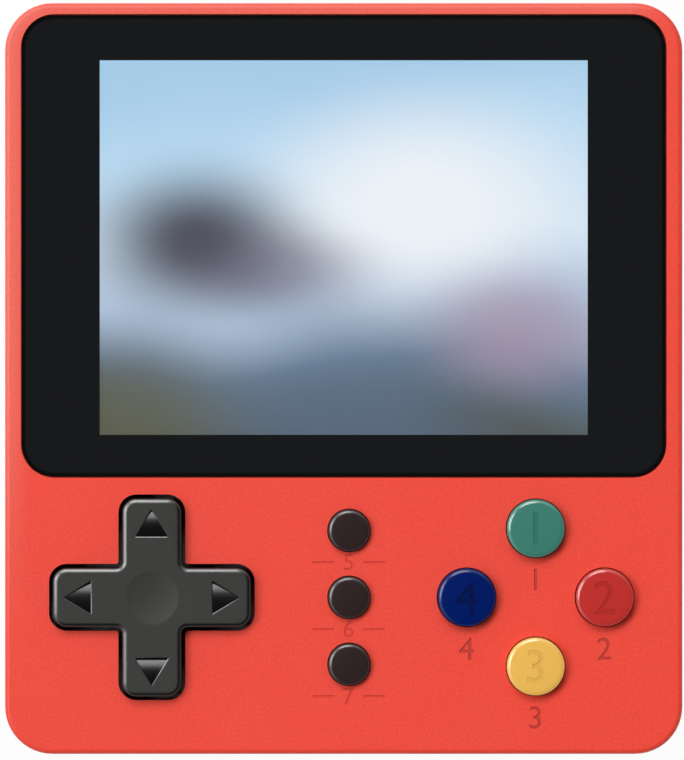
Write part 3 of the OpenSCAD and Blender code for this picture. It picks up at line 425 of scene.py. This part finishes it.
# %% Blackened window edge
LENS_CORNER, WINDOW_INSET, FRONT_WALL, SEAM = 4.0 * MM, 1.5 * MM, 2.6 * MM, 0.02 * MM
lens_low, lens_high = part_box("screen_lens")
depth, place = depth_inside(tree, lens_low, lens_high, LENS_CORNER)
inside = math_node(tree, "GREATER_THAN", depth, WINDOW_INSET)
wall_middle = (FACE_Z - FRONT_WALL + lens_low.z) / 2
in_wall = math_node(tree, "COMPARE", place["Z"], wall_middle, lens_low.z - wall_middle - SEAM)
recolour("shell_red", math_node(tree, "MULTIPLY", inside, in_wall), paint(18, 18, 19))
print("window edge blackened below", round(lens_low.z / MM, 2), "mm")

# %% [markdown]
# ## Materials of the inside
# The inner pieces show only when the battery door is off or a button is taken out, but each still gets
# its own finish: rubber, foam, laminate, epoxy, plated copper and drawn metal.

# %% Finishes of the inside
finish("tape_grey", grain_group, paint(52, 52, 52), 5.0, 0.20, 0.70, 0.10, 0.30, 0.03)
finish("foam_black", cell_group, paint(20, 20, 20), 3.0, 0.50, 0.92, 0.06, 0.60, 0.15)
finish("light_guide", grain_group, paint(238, 238, 234), 1.5, 0.04, 0.50, 0.10, 0.10, 0.02)
finish("flex_amber", grain_group, paint(196, 126, 46), 1.2, 0.22, 0.32, 0.10, 0.10, 0.02)
finish("post_ivory", grain_group, paint(226, 222, 206), 3.0, 0.05, 0.45, 0.08, 0.15, 0.02)
finish("silicone_grey", grain_group, paint(146, 154, 160), 2.5, 0.08, 0.62, 0.10, 0.20, 0.03)
finish("carbon", cell_group, paint(30, 30, 30), 6.0, 0.30, 0.70, 0.10, 0.30, 0.03)
finish("board_green", cell_group, paint(26, 104, 66), 0.45, 0.34, 0.30, 0.12, 0.12, 0.04)
finish("resin_black", grain_group, paint(24, 24, 25), 3.0, 0.14, 0.50, 0.10, 0.20, 0.03)
finish("cone_paper", cell_group, paint(46, 43, 40), 2.2, 0.45, 0.85, 0.06, 0.50, 0.10)
finish("magnet_dark", grain_group, paint(92, 94, 97), 2.2, 0.20, 0.60, 0.10, 0.30, 0.05)
finish("wire_red", grain_group, paint(190, 42, 36), 3.0, 0.08, 0.45, 0.06, 0.10, 0.02)
finish("battery_grey", grain_group, paint(208, 210, 213), 1.6, 0.06, 0.36, 0.12, 0.12, 0.03)
METALS = {
    "tray_steel": (paint(190, 192, 194), 6.0, 0.16, 0.34, 0.16, 0.15, 0.02),
    "pivot_steel": (paint(214, 215, 217), 4.0, 0.08, 0.12, 0.08, 0.04, 0.01),
    "gilt_copper": (paint(218, 180, 92), 5.0, 0.16, 0.26, 0.12, 0.10, 0.01),
    "can_aluminium": (paint(204, 206, 208), 4.0, 0.12, 0.30, 0.12, 0.10, 0.02),
    "speaker_metal": (paint(176, 178, 182), 4.0, 0.14, 0.40, 0.12, 0.12, 0.02),
    "socket_steel": (paint(204, 206, 208), 6.0, 0.14, 0.28, 0.14, 0.12, 0.02),
    "screw_steel": (paint(96, 98, 101), 8.0, 0.22, 0.36, 0.16, 0.15, 0.02),
}
for name, look in METALS.items():
    finish(name, metal_group, *look, metallic=1.0)
print("finishes so far:", len(finishes))

# %% [markdown]
# ## The clear lens and its black border
# The whole upper part of the face is one clear sheet, glued into a shallow recess and printed black behind
# its border. Over the picture it is real glass in the shader, with a trace of smudge in its roughness that
# keeps the reflection from being perfect. Print under a clear sheet looks just like black under a clear
# coat, so the border is a coated black, which renders with less noise than glass over print. Bare print is
# left for the sheet's edge and back. Both blacks deepen towards the outline, where the case shades them.

# %% Lens and print
LENS_IOR, SMUDGE_SCALE, SMUDGE_SWING, LENS_ROUGHNESS = 1.45, 90.0, 0.03, 0.015
EDGE_SHADE_WIDTH, EDGE_SHADE_FULL = 0.6 * MM, 0.2 * MM
lens_finish = bpy.data.materials.new("lens_clear")
lens_finish.use_nodes = True
tree = lens_finish.node_tree
shader = tree.nodes["Principled BSDF"]
shader.inputs["Base Color"].default_value = (1, 1, 1, 1)
shader.inputs["Transmission Weight"].default_value = 1.0
shader.inputs["IOR"].default_value = LENS_IOR
spot = add(tree, "ShaderNodeTexCoord").outputs["Object"]
smudge = noise(tree, spot, SMUDGE_SCALE, 3.0)
tree.links.new(vary(tree, smudge, SMUDGE_SWING, LENS_ROUGHNESS), shader.inputs["Roughness"])
finishes["lens_clear"] = lens_finish
finish("print_black", grain_group, paint(14, 14, 15), 2.0, 0.10, 0.35, 0.06, 0.05, 0.01,
       specular_ior_level=0.0)
finish("lens_border", grain_group, paint(23, 24, 26), 2.0, 0.06, 0.40, 0.06, 0.05, 0.01,
       specular_ior_level=0.0, coat_weight=1.0, coat_roughness=LENS_ROUGHNESS, coat_ior=LENS_IOR)
# Near the outline both blacks take a darker tone, which is painted shade.
for name, painted_shade_tone in (("print_black", (12, 13, 11)), ("lens_border", (8, 9, 8))):
    tree = finishes[name].node_tree
    depth, place = depth_inside(tree, lens_low, lens_high, LENS_CORNER)
    recolour(name, ramp(tree, depth, EDGE_SHADE_WIDTH, EDGE_SHADE_FULL), paint(*painted_shade_tone))
print("finishes so far:", len(finishes))

# %% [markdown]
# ## The picture on the display
# A display is a light source, so its picture is an emission colour. The picture here is a plain
# out-of-focus landscape made from nodes. First comes a sky that pales towards hills: a colour ramp that
# follows the height in the picture, with a little noise so that its bands wander.

# %% Sky and hills
VIEW_SIZE = Vector((59.8 * MM, 45.9 * MM, 1.0))
HILL_SCALE, HILL_WANDER = 1.6, 0.35
SKY_BANDS = [(0.0, paint(84, 92, 92)), (0.16, paint(104, 126, 150)), (0.34, paint(180, 200, 224)),
             (0.52, paint(212, 232, 248)), (0.74, paint(192, 224, 247)), (1.0, paint(170, 209, 238))]
window_low, window_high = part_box("lcd_glass")
view_corner = (window_low + window_high) / 2 - VIEW_SIZE / 2
picture = bpy.data.materials.new("display_glass")
picture.use_nodes = True
tree = picture.node_tree
spot = add(tree, "ShaderNodeTexCoord").outputs["Object"]
unit = vector_node(tree, "DIVIDE", vector_node(tree, "SUBTRACT", spot, view_corner), VIEW_SIZE)
across = add(tree, "ShaderNodeSeparateXYZ", {0: unit}).outputs
wander = noise(tree, unit, HILL_SCALE, 1.0)
rise = math_node(tree, "ADD", across["Y"], vary(tree, wander, HILL_WANDER, 0.0))
sky = add(tree, "ShaderNodeValToRGB", {"Fac": rise})
while len(sky.color_ramp.elements) < len(SKY_BANDS):
    sky.color_ramp.elements.new(1.0)
for element, (position, colour) in zip(sky.color_ramp.elements, SKY_BANDS):
    element.position, element.color = position, colour
print("sky in", len(SKY_BANDS), "bands")

# %% [markdown]
# Soft patches are laid over the sky one after the other. Each is an ellipse whose edge fades out, which is
# all that a blurred shape is.

# %% Soft patches
PATCHES = [
    ((0.66, 0.62), (0.52, 0.44), 0.95, paint(244, 248, 253)),
    ((0.20, 0.52), (0.34, 0.30), 0.92, paint(46, 38, 56)),
    ((0.36, 0.44), (0.30, 0.20), 0.60, paint(96, 86, 110)),
    ((0.86, 0.28), (0.30, 0.26), 0.70, paint(176, 156, 180)),
    ((0.02, 0.04), (0.46, 0.34), 0.85, paint(96, 98, 78)),
    ((0.52, 0.02), (0.44, 0.24), 0.65, paint(92, 112, 140)),
]


def patch(colour_below, centre, reach, strength, colour):
    offset = vector_node(tree, "SUBTRACT", unit, (*centre, 0))
    scaled = vector_node(tree, "DIVIDE", offset, (*reach, 1))
    away = vector_node(tree, "LENGTH", vector_node(tree, "MULTIPLY", scaled, (1, 1, 0)))
    inputs = {"Value": away, "From Min": 0.0, "From Max": 1.0, "To Min": strength, "To Max": 0.0}
    fade = add(tree, "ShaderNodeMapRange", inputs, interpolation_type="SMOOTHERSTEP").outputs[0]
    return mix_colour(tree, fade, colour_below, colour)


seen = sky.outputs[0]
for centre, reach, strength, colour in PATCHES:
    seen = patch(seen, centre, reach, strength, colour)
shader = tree.nodes["Principled BSDF"]
tree.links.new(seen, shader.inputs["Emission Color"])
shader.inputs["Emission Strength"].default_value = 1.0
shader.inputs["Base Color"].default_value = paint(10, 10, 12)
shader.inputs["Roughness"].default_value = 0.3
finishes["display_glass"] = picture
print("picture has", len(PATCHES), "soft patches")

# %% [markdown]
# ## Every CAD piece gets its finish
# The record of the part names a material slot for each piece, and the finishes above carry the same
# names, so one loop dresses them all.

# %% Dress the CAD pieces
for part in frame["record"]["subparts"]:
    mesh = nodes[part["node"]].data
    mesh.materials.clear()
    mesh.materials.append(finishes[part["material_slot"]])

# %% [markdown]
# ## Helpers for new pieces
# Each new piece starts as a bmesh. When its shape is done it becomes an object at the origin, is shaded
# smooth except along real edges, rides on its body and stands for the CAD piece that it replaces. Weighted
# normals keep flat faces flat next to their rounded edges. A piece can also be cut by another, which is
# then thrown away, as a mould maker's tool would be.

# %% From bmesh to piece
SHARP, FLAT = math.radians(28), math.radians(0.25)
MERGE = 0.0005 * MM


def make_object(name, shape, material):
    mesh = bpy.data.meshes.new(name)
    shape.to_mesh(mesh)
    shape.free()
    mesh.materials.append(material)
    obj = bpy.data.objects.new(name, mesh)
    scene.collection.objects.link(obj)
    return obj


def finish_piece(obj, body, slot, *stands_for):
    shape = bmesh.new()
    shape.from_mesh(obj.data)
    for face in shape.faces:
        face.smooth = True
    for edge in shape.edges:
        edge.smooth = edge.calc_face_angle(math.pi) < SHARP
    shape.to_mesh(obj.data)
    shape.free()
    weighted = obj.modifiers.new("flat_faces", "WEIGHTED_NORMAL")
    weighted.keep_sharp = True
    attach(obj, body)
    if stands_for:
        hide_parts(*stands_for)
    print(obj.name, "has", len(obj.data.polygons), "faces and rides on", body)


def evaluated_mesh(obj):
    return bpy.data.meshes.new_from_object(obj.evaluated_get(bpy.context.evaluated_depsgraph_get()))


def cut_away(obj, cutter):
    """Takes the cutter's shape out of obj. The new faces take the cutter's material."""
    carve = obj.modifiers.new("carve", "BOOLEAN")
    carve.object, carve.operation, carve.solver = cutter, "DIFFERENCE", "MANIFOLD"
    carve.material_mode = "TRANSFER"
    cut = evaluated_mesh(obj)
    obj.modifiers.clear()
    plain, obj.data = obj.data, cut
    cut.name = plain.name + "_cut"
    bpy.data.meshes.remove(plain)
    spent = cutter.data
    bpy.data.objects.remove(cutter)
    bpy.data.meshes.remove(spent)


print("edges over", round(math.degrees(SHARP)), "degrees stay sharp")

# %% [markdown]
# ## Numbers for the buttons
# A maker engraves the mould, so a mark on the plastic is a shallow cut with a flat floor. Text gives the
# outline. It is made a solid mesh and moved to its place, and is then cut out of the piece. The smallest
# edges of the shape are dissolved first, and its flat sides made single faces, because needle-thin faces
# may leave holes.

# %% Engraving tool
TEXT_STEPS, NEEDLE = 6, 0.01 * MM


def numeral_cutter(marks, material, bars=()):
    """One cutter for several marks, each (text, font size, centre, depth), and bars, each (centre, size)."""
    shape = bmesh.new()
    for centre, size in bars:
        placed = Matrix.Translation(centre) @ Matrix.Diagonal((*size, 1.0))
        bmesh.ops.create_cube(shape, size=1.0, matrix=placed)
    for text, size, centre, depth in marks:
        outline = bpy.data.curves.new("mark", "FONT")
        outline.body, outline.size, outline.extrude = text, size, depth
        outline.resolution_u = TEXT_STEPS
        holder = bpy.data.objects.new("mark", outline)
        scene.collection.objects.link(holder)
        mesh = evaluated_mesh(holder)
        bpy.data.objects.remove(holder)
        corners = [v.co.copy() for v in mesh.vertices]
        low = Vector(map(min, *corners))
        high = Vector(map(max, *corners))
        mesh.transform(Matrix.Translation(Vector(centre) - (low + high) / 2))
        shape.from_mesh(mesh)
        bpy.data.meshes.remove(mesh)
    bmesh.ops.remove_doubles(shape, verts=shape.verts, dist=MERGE)
    bmesh.ops.dissolve_degenerate(shape, dist=NEEDLE, edges=shape.edges)
    bmesh.ops.dissolve_limit(shape, angle_limit=FLAT, verts=shape.verts, edges=shape.edges)
    bmesh.ops.recalc_face_normals(shape, faces=shape.faces)
    return make_object("mark_cutter", shape, material)


print("edges under", round(NEEDLE / MM, 3), "mm are dissolved in a mark")

# %% [markdown]
# ## The front housing
# The moulded front is right as CAD made it, so the visible piece starts as a merged copy of that mesh.
# Triangles that lie in one plane are first dissolved into one face, because cuts and shading both come out
# cleaner on it. The piece then only gains the engraved numbers below the buttons: filled with darker paint
# beside the four colours, and with a fainter one, between two short bars, below the three small ones.

# %% Front housing with engraved numbers
KEY_NODES = {"1": "green_button", "2": "red_button", "3": "yellow_button", "4": "blue_button"}
MENU_NODES = {"5": "reset_button", "6": "select_button", "7": "start_button"}
KEY_MARK_SIZE, MENU_MARK_SIZE, MARK_DEPTH = 3.9 * MM, 2.9 * MM, 0.12 * MM
KEY_MARK_DROP, MENU_MARK_DROP = 6.3 * MM, 3.95 * MM
BAR_AWAY, BAR_SIZE = 3.1 * MM, Vector((2.6 * MM, 0.28 * MM, 2 * MARK_DEPTH))


def cap_centre(node):
    """Middle of a round cap. Its key tab sticks out towards +Y, so Y comes from the width instead."""
    low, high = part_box(node)
    return Vector(((low.x + high.x) / 2, low.y + (high.x - low.x) / 2, high.z))


def mark_place(node, drop):
    middle = cap_centre(node)
    return Vector((middle.x, middle.y - drop, FACE_Z))


housing_shape = bmesh.new()
housing_shape.from_mesh(nodes["front_shell"].data)
bmesh.ops.remove_doubles(housing_shape, verts=housing_shape.verts, dist=MERGE)
bmesh.ops.dissolve_limit(housing_shape, angle_limit=FLAT, verts=housing_shape.verts,
                         edges=housing_shape.edges)
key_marks, menu_marks, menu_bars = [], [], []
for text, node in KEY_NODES.items():
    key_marks.append((text, KEY_MARK_SIZE, mark_place(node, KEY_MARK_DROP), MARK_DEPTH))
for text, node in MENU_NODES.items():
    place = mark_place(node, MENU_MARK_DROP)
    menu_marks.append((text, MENU_MARK_SIZE, place, MARK_DEPTH))
    menu_bars += [(place + Vector((away, 0, 0)), BAR_SIZE) for away in (-BAR_AWAY, BAR_AWAY)]
housing = make_object("front_housing", housing_shape, finishes["shell_red"])
cut_away(housing, numeral_cutter(key_marks, finishes["label_red"]))
cut_away(housing, numeral_cutter(menu_marks, finishes["label_faint"], menu_bars))
finish_piece(housing, "console", "shell_red", "front_shell")

# %% [markdown]
# ## The lens sheet
# A clear sheet is cut to shape with rounded corners and is set flush into the case, so its edge stays
# square. In bmesh that is one rectangle: its corners are rounded by a bevel of the vertices, and the face
# is extruded. Four cuts with the bisect operator mark the edges of the picture, so that the faces outside
# them can take the border's black, in front and behind, while the ones over the picture stay clear.

# %% Rounded plate and lens
ROUND = dict(profile=0.5, material=-1)
LENS_CORNER_STEPS, PRINT_GAP, UPWARD = 16, 0.01 * MM, 0.5


def plate(outline, top, bottom, corner_steps):
    """A plate between two heights. outline gives (x, y, corner radius) round the edge."""
    shape = bmesh.new()
    corners = [shape.verts.new((x, y, top)) for x, y, radius in outline]
    shape.faces.new(corners)
    for corner, (x, y, radius) in zip(corners, outline):
        bmesh.ops.bevel(shape, geom=[corner], offset=radius, segments=corner_steps, affect="VERTICES",
                        **ROUND)
    grown = bmesh.ops.extrude_face_region(shape, geom=shape.faces[:])
    low = [v for v in grown["geom"] if isinstance(v, bmesh.types.BMVert)]
    bmesh.ops.translate(shape, vec=(0, 0, bottom - top), verts=low)
    bmesh.ops.recalc_face_normals(shape, faces=shape.faces)
    return shape


def slice_at(shape, point, normal):
    """Adds edges to the shape where a plane goes through it."""
    whole = shape.verts[:] + shape.edges[:] + shape.faces[:]
    bmesh.ops.bisect_plane(shape, geom=whole, plane_co=point, plane_no=normal)


lens_corners = ((lens_low.x, lens_low.y), (lens_high.x, lens_low.y),
                (lens_high.x, lens_high.y), (lens_low.x, lens_high.y))
lens_outline = [(x, y, LENS_CORNER) for x, y in lens_corners]
lens_shape = plate(lens_outline, lens_high.z, lens_low.z + PRINT_GAP, LENS_CORNER_STEPS)
view_low, view_high = view_corner, view_corner + VIEW_SIZE
for corner in (view_low, view_high):
    for normal in ((1, 0, 0), (0, 1, 0)):
        slice_at(lens_shape, corner, normal)
lens = make_object("lens_sheet", lens_shape, lens_finish)
lens.data.materials.append(finishes["print_black"])
lens.data.materials.append(finishes["lens_border"])
for face in lens.data.polygons:
    spot = face.center
    if not (view_low.x < spot.x < view_high.x and view_low.y < spot.y < view_high.y):
        face.material_index = 2 if face.normal.z > UPWARD else 1
finish_piece(lens, "console", "lens_clear", "screen_lens")

# %% [markdown]
# ## The direction cross
# The cross is one moulding with a sloped band round its top, a thumb dish in the middle and an arrow sunk
# into each arm. The plate helper makes the body from its twelve corners. A bevel in one step cuts the band,
# whose foot is then lifted so that the band leans back. Two more bevels round it off: a small one at its
# foot and a wider one where it runs into the top, so that light fades along it.

# %% Cross body
PAD_ARM, PAD_TIP, PAD_ROOT, PAD_CORNER_STEPS = 3.6 * MM, 1.7 * MM, 0.8 * MM, 8
RIM_WIDTH, RIM_FALL = 0.40 * MM, 0.19 * MM
RIM_ROUND, RIM_ROUND_STEPS, RIM_NOSE, RIM_NOSE_STEPS = 0.26 * MM, 7, 0.08 * MM, 3
NEAR = 0.001 * MM
pad_low, pad_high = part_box("dpad")
PAD = Vector(((pad_low.x + pad_high.x) / 2, (pad_low.y + pad_high.y) / 2, pad_high.z))
PAD_REACH = (pad_high.x - pad_low.x) / 2
ARM_CORNERS = ((PAD_REACH, -PAD_ARM, PAD_TIP), (PAD_REACH, PAD_ARM, PAD_TIP), (PAD_ARM, PAD_ARM, PAD_ROOT))


def soften(shape, z, width, steps):
    """Bevels all edges that lie at one height."""
    edges = [e for e in shape.edges if all(abs(v.co.z - z) < NEAR for v in e.verts)]
    bmesh.ops.bevel(shape, geom=edges, offset=width, segments=steps, affect="EDGES", **ROUND)


cross_outline = []
for quarter in range(4):
    turn = Matrix.Rotation(quarter * math.pi / 2, 2)
    for x, y, radius in ARM_CORNERS:
        corner = turn @ Vector((x, y))
        cross_outline.append((PAD.x + corner.x, PAD.y + corner.y, radius))
cross_shape = plate(cross_outline, PAD.z, pad_low.z, PAD_CORNER_STEPS)
soften(cross_shape, PAD.z, RIM_WIDTH, 1)
foot = [v for v in cross_shape.verts if abs(v.co.z - PAD.z + RIM_WIDTH) < NEAR]
bmesh.ops.translate(cross_shape, vec=(0, 0, RIM_WIDTH - RIM_FALL), verts=foot)
soften(cross_shape, PAD.z - RIM_FALL, RIM_NOSE, RIM_NOSE_STEPS)
soften(cross_shape, PAD.z, RIM_ROUND, RIM_ROUND_STEPS)
cross = make_object("direction_cross", cross_shape, finishes["pad_grey"])
print("cross spans", round(2 * PAD_REACH / MM, 1), "mm")

# %% [markdown]
# The sloped flanks of the cross are painted black all round, a painted shade so that the flanks facing away
# from the light read dark, while the top keeps its grey. The surface's own normal tells the two apart: where
# it points up the plastic is grey, and as it leans over it turns black.

# %% Grey top and flanks painted black as shade
SHADE_START_SLOPE, SHADE_FULL_SLOPE = math.cos(math.radians(4)), math.cos(math.radians(17))
tree = finishes["pad_grey"].node_tree
facing = add(tree, "ShaderNodeTexCoord").outputs["Normal"]
upward = add(tree, "ShaderNodeSeparateXYZ", {0: facing}).outputs["Z"]
# The black mixed in on the flanks is painted shade.
recolour("pad_grey", ramp(tree, upward, SHADE_START_SLOPE, SHADE_FULL_SLOPE), paint(9, 9, 9))
print("flanks turn black between", round(SHADE_START_SLOPE, 3), "and", round(SHADE_FULL_SLOPE, 3))

# %% [markdown]
# A lathe tool is a profile that is spun about an axis. The profile's points are joined to a chain of
# edges, and the spin operator sweeps them. Points on the axis come out once for every step, so they are
# merged afterwards. Its first use is the cutter for the thumb dish, a slice of a large ball.

# %% Lathe helper and thumb dish
LATHE_STEPS = 96
DISH_R, DISH_DEPTH, DISH_STEPS, TOOL_CLEAR = 3.4 * MM, 0.16 * MM, 14, 0.5 * MM


def lathe(profile, centre):
    """Spins (radius, height) points about a vertical axis through centre."""
    shape = bmesh.new()
    chain = [shape.verts.new((radius, 0, z)) for radius, z in profile]
    for first, second in zip(chain, chain[1:]):
        shape.edges.new((first, second))
    bmesh.ops.spin(shape, geom=shape.verts[:] + shape.edges[:], cent=(0, 0, 0), axis=(0, 0, 1),
                   angle=2 * math.pi, steps=LATHE_STEPS, use_merge=True)
    bmesh.ops.remove_doubles(shape, verts=shape.verts, dist=MERGE)
    bmesh.ops.recalc_face_normals(shape, faces=shape.faces)
    bmesh.ops.translate(shape, vec=(centre.x, centre.y, 0), verts=shape.verts)
    return shape


dish_ball = (DISH_R ** 2 + DISH_DEPTH ** 2) / (2 * DISH_DEPTH)
dish_profile = []
for step in range(DISH_STEPS + 1):
    out = DISH_R * (step / DISH_STEPS)
    dish_profile.append((out, PAD.z - DISH_DEPTH + dish_ball - math.sqrt(dish_ball ** 2 - out ** 2)))
dish_profile += [(DISH_R, PAD.z + TOOL_CLEAR), (0, PAD.z + TOOL_CLEAR)]
cut_away(cross, make_object("dish_cutter", lathe(dish_profile, PAD), finishes["pad_matt"]))
print("dish radius", round(dish_ball / MM, 1), "mm")

# %% [markdown]
# Each arrow is a sunk triangle with a shallow lip, so that the lamps draw a light line along its lower and
# right sides. Two tools cut it: a flat funnel for the lip and a straight plate for the pit.

# %% Arrow tools
ARROW_HALF, ARROW_HEIGHT, ARROW_BASE = 2.15 * MM, 3.6 * MM, 7.35 * MM
ARROW_CORNER, ARROW_CORNER_STEPS = 0.12 * MM, 3
PIT_SHARE, PIT_DEPTH = 0.93, 1.0 * MM
LIP_SHARE, LIP_DEPTH, LIP_CLEAR = 1.09, 0.08 * MM, 0.002 * MM


def arrow_outline(quarter, share):
    """Corners of one arrow, drawn larger or smaller about its middle."""
    turn = Matrix.Rotation(quarter * math.pi / 2, 2)
    middle = Vector((0, ARROW_BASE + ARROW_HEIGHT / 3))
    points = ((ARROW_HALF, ARROW_BASE), (0, ARROW_BASE + ARROW_HEIGHT), (-ARROW_HALF, ARROW_BASE))
    placed = [PAD.xy + turn @ (middle + share * (Vector(p) - middle)) for p in points]
    return [(p.x, p.y, ARROW_CORNER) for p in placed], PAD.xy + turn @ middle


def lip_cutter(quarter):
    """A flat funnel: wide at the top of the cross and as wide as the pit at its foot."""
    outline, middle = arrow_outline(quarter, LIP_SHARE)
    shape = plate(outline, PAD.z, PAD.z - LIP_DEPTH, ARROW_CORNER_STEPS)
    low = [v for v in shape.verts if v.co.z < PAD.z - LIP_DEPTH / 2]
    share = PIT_SHARE / LIP_SHARE
    about_middle = Matrix.Translation((-middle.x, -middle.y, 0))
    bmesh.ops.scale(shape, vec=(share, share, 1), space=about_middle, verts=low)
    bmesh.ops.translate(shape, vec=(0, 0, LIP_CLEAR), verts=shape.verts)
    return shape


for quarter in range(4):
    cut_away(cross, make_object("lip_cutter", lip_cutter(quarter), finishes["pad_grey"]))
    outline, middle = arrow_outline(quarter, PIT_SHARE)
    pit = plate(outline, PAD.z + TOOL_CLEAR, PAD.z - PIT_DEPTH, ARROW_CORNER_STEPS)
    cut_away(cross, make_object("pit_cutter", pit, finishes["pad_grey"]))
finish_piece(cross, "dpad_cross", "pad_grey", "dpad")

# %% [markdown]
# The floor of each pit is a separate glossy inset that falls away towards the top of the picture: its
# upper part mirrors a lamp and its lower part the dark ceiling, whichever way the arrow points. Slices made
# with the bisect operator let it bend.

# %% Glossy insets
INSET_DROP, INSET_FALL, INSET_POWER, SLICES = 0.09 * MM, 0.14, 2.2, 14
insets = bmesh.new()
for quarter in range(4):
    outline, middle = arrow_outline(quarter, PIT_SHARE)
    inset = plate(outline, PAD.z - INSET_DROP, PAD.z - PIT_DEPTH, ARROW_CORNER_STEPS)
    low = min(v.co.y for v in inset.verts)
    high = max(v.co.y for v in inset.verts)
    for i in range(1, SLICES):
        slice_at(inset, (0, low + (high - low) * i / SLICES, 0), (0, 1, 0))
    for v in inset.verts:
        if v.co.z > PAD.z - PIT_DEPTH / 2:
            v.co.z -= INSET_FALL * (high - low) * ((v.co.y - low) / (high - low)) ** INSET_POWER
    held = bpy.data.meshes.new("inset")
    inset.to_mesh(held)
    inset.free()
    insets.from_mesh(held)
    bpy.data.meshes.remove(held)
finish_piece(make_object("arrow_insets", insets, finishes["arrow_gloss"]), "dpad_cross", "pad_grey")

# %% [markdown]
# ## The push buttons
# A button is a turned shape: a barely domed top, a rounded rim, a straight wall and a flange that keeps it
# in the case. The top runs over three arcs that meet without a kink: the wide dome, a tighter shoulder and
# a small nose that ends upright. The lathe helper makes the cap from that one profile.

# %% Profile of a cap
SHOULDER_SLOPE, NOSE = math.radians(32), 0.12 * MM
DOME_STEPS, SHOULDER_STEPS, NOSE_STEPS = 10, 7, 4
CAP_WALL, CAP_ROOF, CAP_STEM, FLANGE_HEIGHT = 0.9 * MM, 0.9 * MM, 1.2 * MM, 1.1 * MM


def cap_profile(radius, shoulder, dome, top, low, flange):
    """From the middle of the top, over the rim and down to the flange's foot, then back under the cap."""
    share = math.sin(SHOULDER_SLOPE)
    dome_slope = math.asin((radius - shoulder * share - NOSE * (1 - share)) / (dome - shoulder))
    arcs = ((dome, dome_slope, DOME_STEPS), (shoulder, SHOULDER_SLOPE, SHOULDER_STEPS),
            (NOSE, math.pi / 2, NOSE_STEPS))
    points, slope = [(0, top)], 0
    for bend, end, steps in arcs:
        x, z = points[-1]
        x, z = x - bend * math.sin(slope), z - bend * math.cos(slope)
        for i in range(1, steps + 1):
            angle = slope + (end - slope) * i / steps
            points.append((x + bend * math.sin(angle), z + bend * math.cos(angle)))
        slope = end
    foot, bore, roof = low + FLANGE_HEIGHT, radius - CAP_WALL, FACE_Z - CAP_ROOF
    points += [(radius, foot), (flange, foot), (flange, low), (bore, low), (bore, roof)]
    return points + [(CAP_STEM, roof), (CAP_STEM, low), (0, low)]


print("a cap's top has", DOME_STEPS + SHOULDER_STEPS + NOSE_STEPS, "rings")

# %% [markdown]
# The four coloured caps have their number cut into the top, like the marks on the case but shallower. The
# three small caps are plain and a little rounder.

# %% Seven caps
KEY_RADIUS, KEY_SHOULDER, KEY_DOME = 3.55 * MM, 1.2 * MM, 40 * MM
KEY_NUMBER, KEY_NUMBER_DEPTH = 5.8 * MM, 0.10 * MM
MENU_RADIUS, MENU_SHOULDER, MENU_DOME = 2.55 * MM, 1.0 * MM, 32 * MM


def button_cap(node, slot, radius, shoulder, dome, text):
    low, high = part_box(node)
    middle = cap_centre(node)
    profile = cap_profile(radius, shoulder, dome, high.z, low.z, (high.x - low.x) / 2)
    word = node.split("_")[0]
    cap = make_object(word + "_cap", lathe(profile, middle), finishes[slot])
    if text:
        marks = [(text, KEY_NUMBER, (middle.x, middle.y, high.z), KEY_NUMBER_DEPTH)]
        cut_away(cap, numeral_cutter(marks, finishes["mark_" + word]))
    finish_piece(cap, word + "_key", slot, node)


for text, node in KEY_NODES.items():
    button_cap(node, "key_" + node.split("_")[0], KEY_RADIUS, KEY_SHOULDER, KEY_DOME, text)
for node in MENU_NODES.values():
    button_cap(node, "menu_dark", MENU_RADIUS, MENU_SHOULDER, MENU_DOME, "")
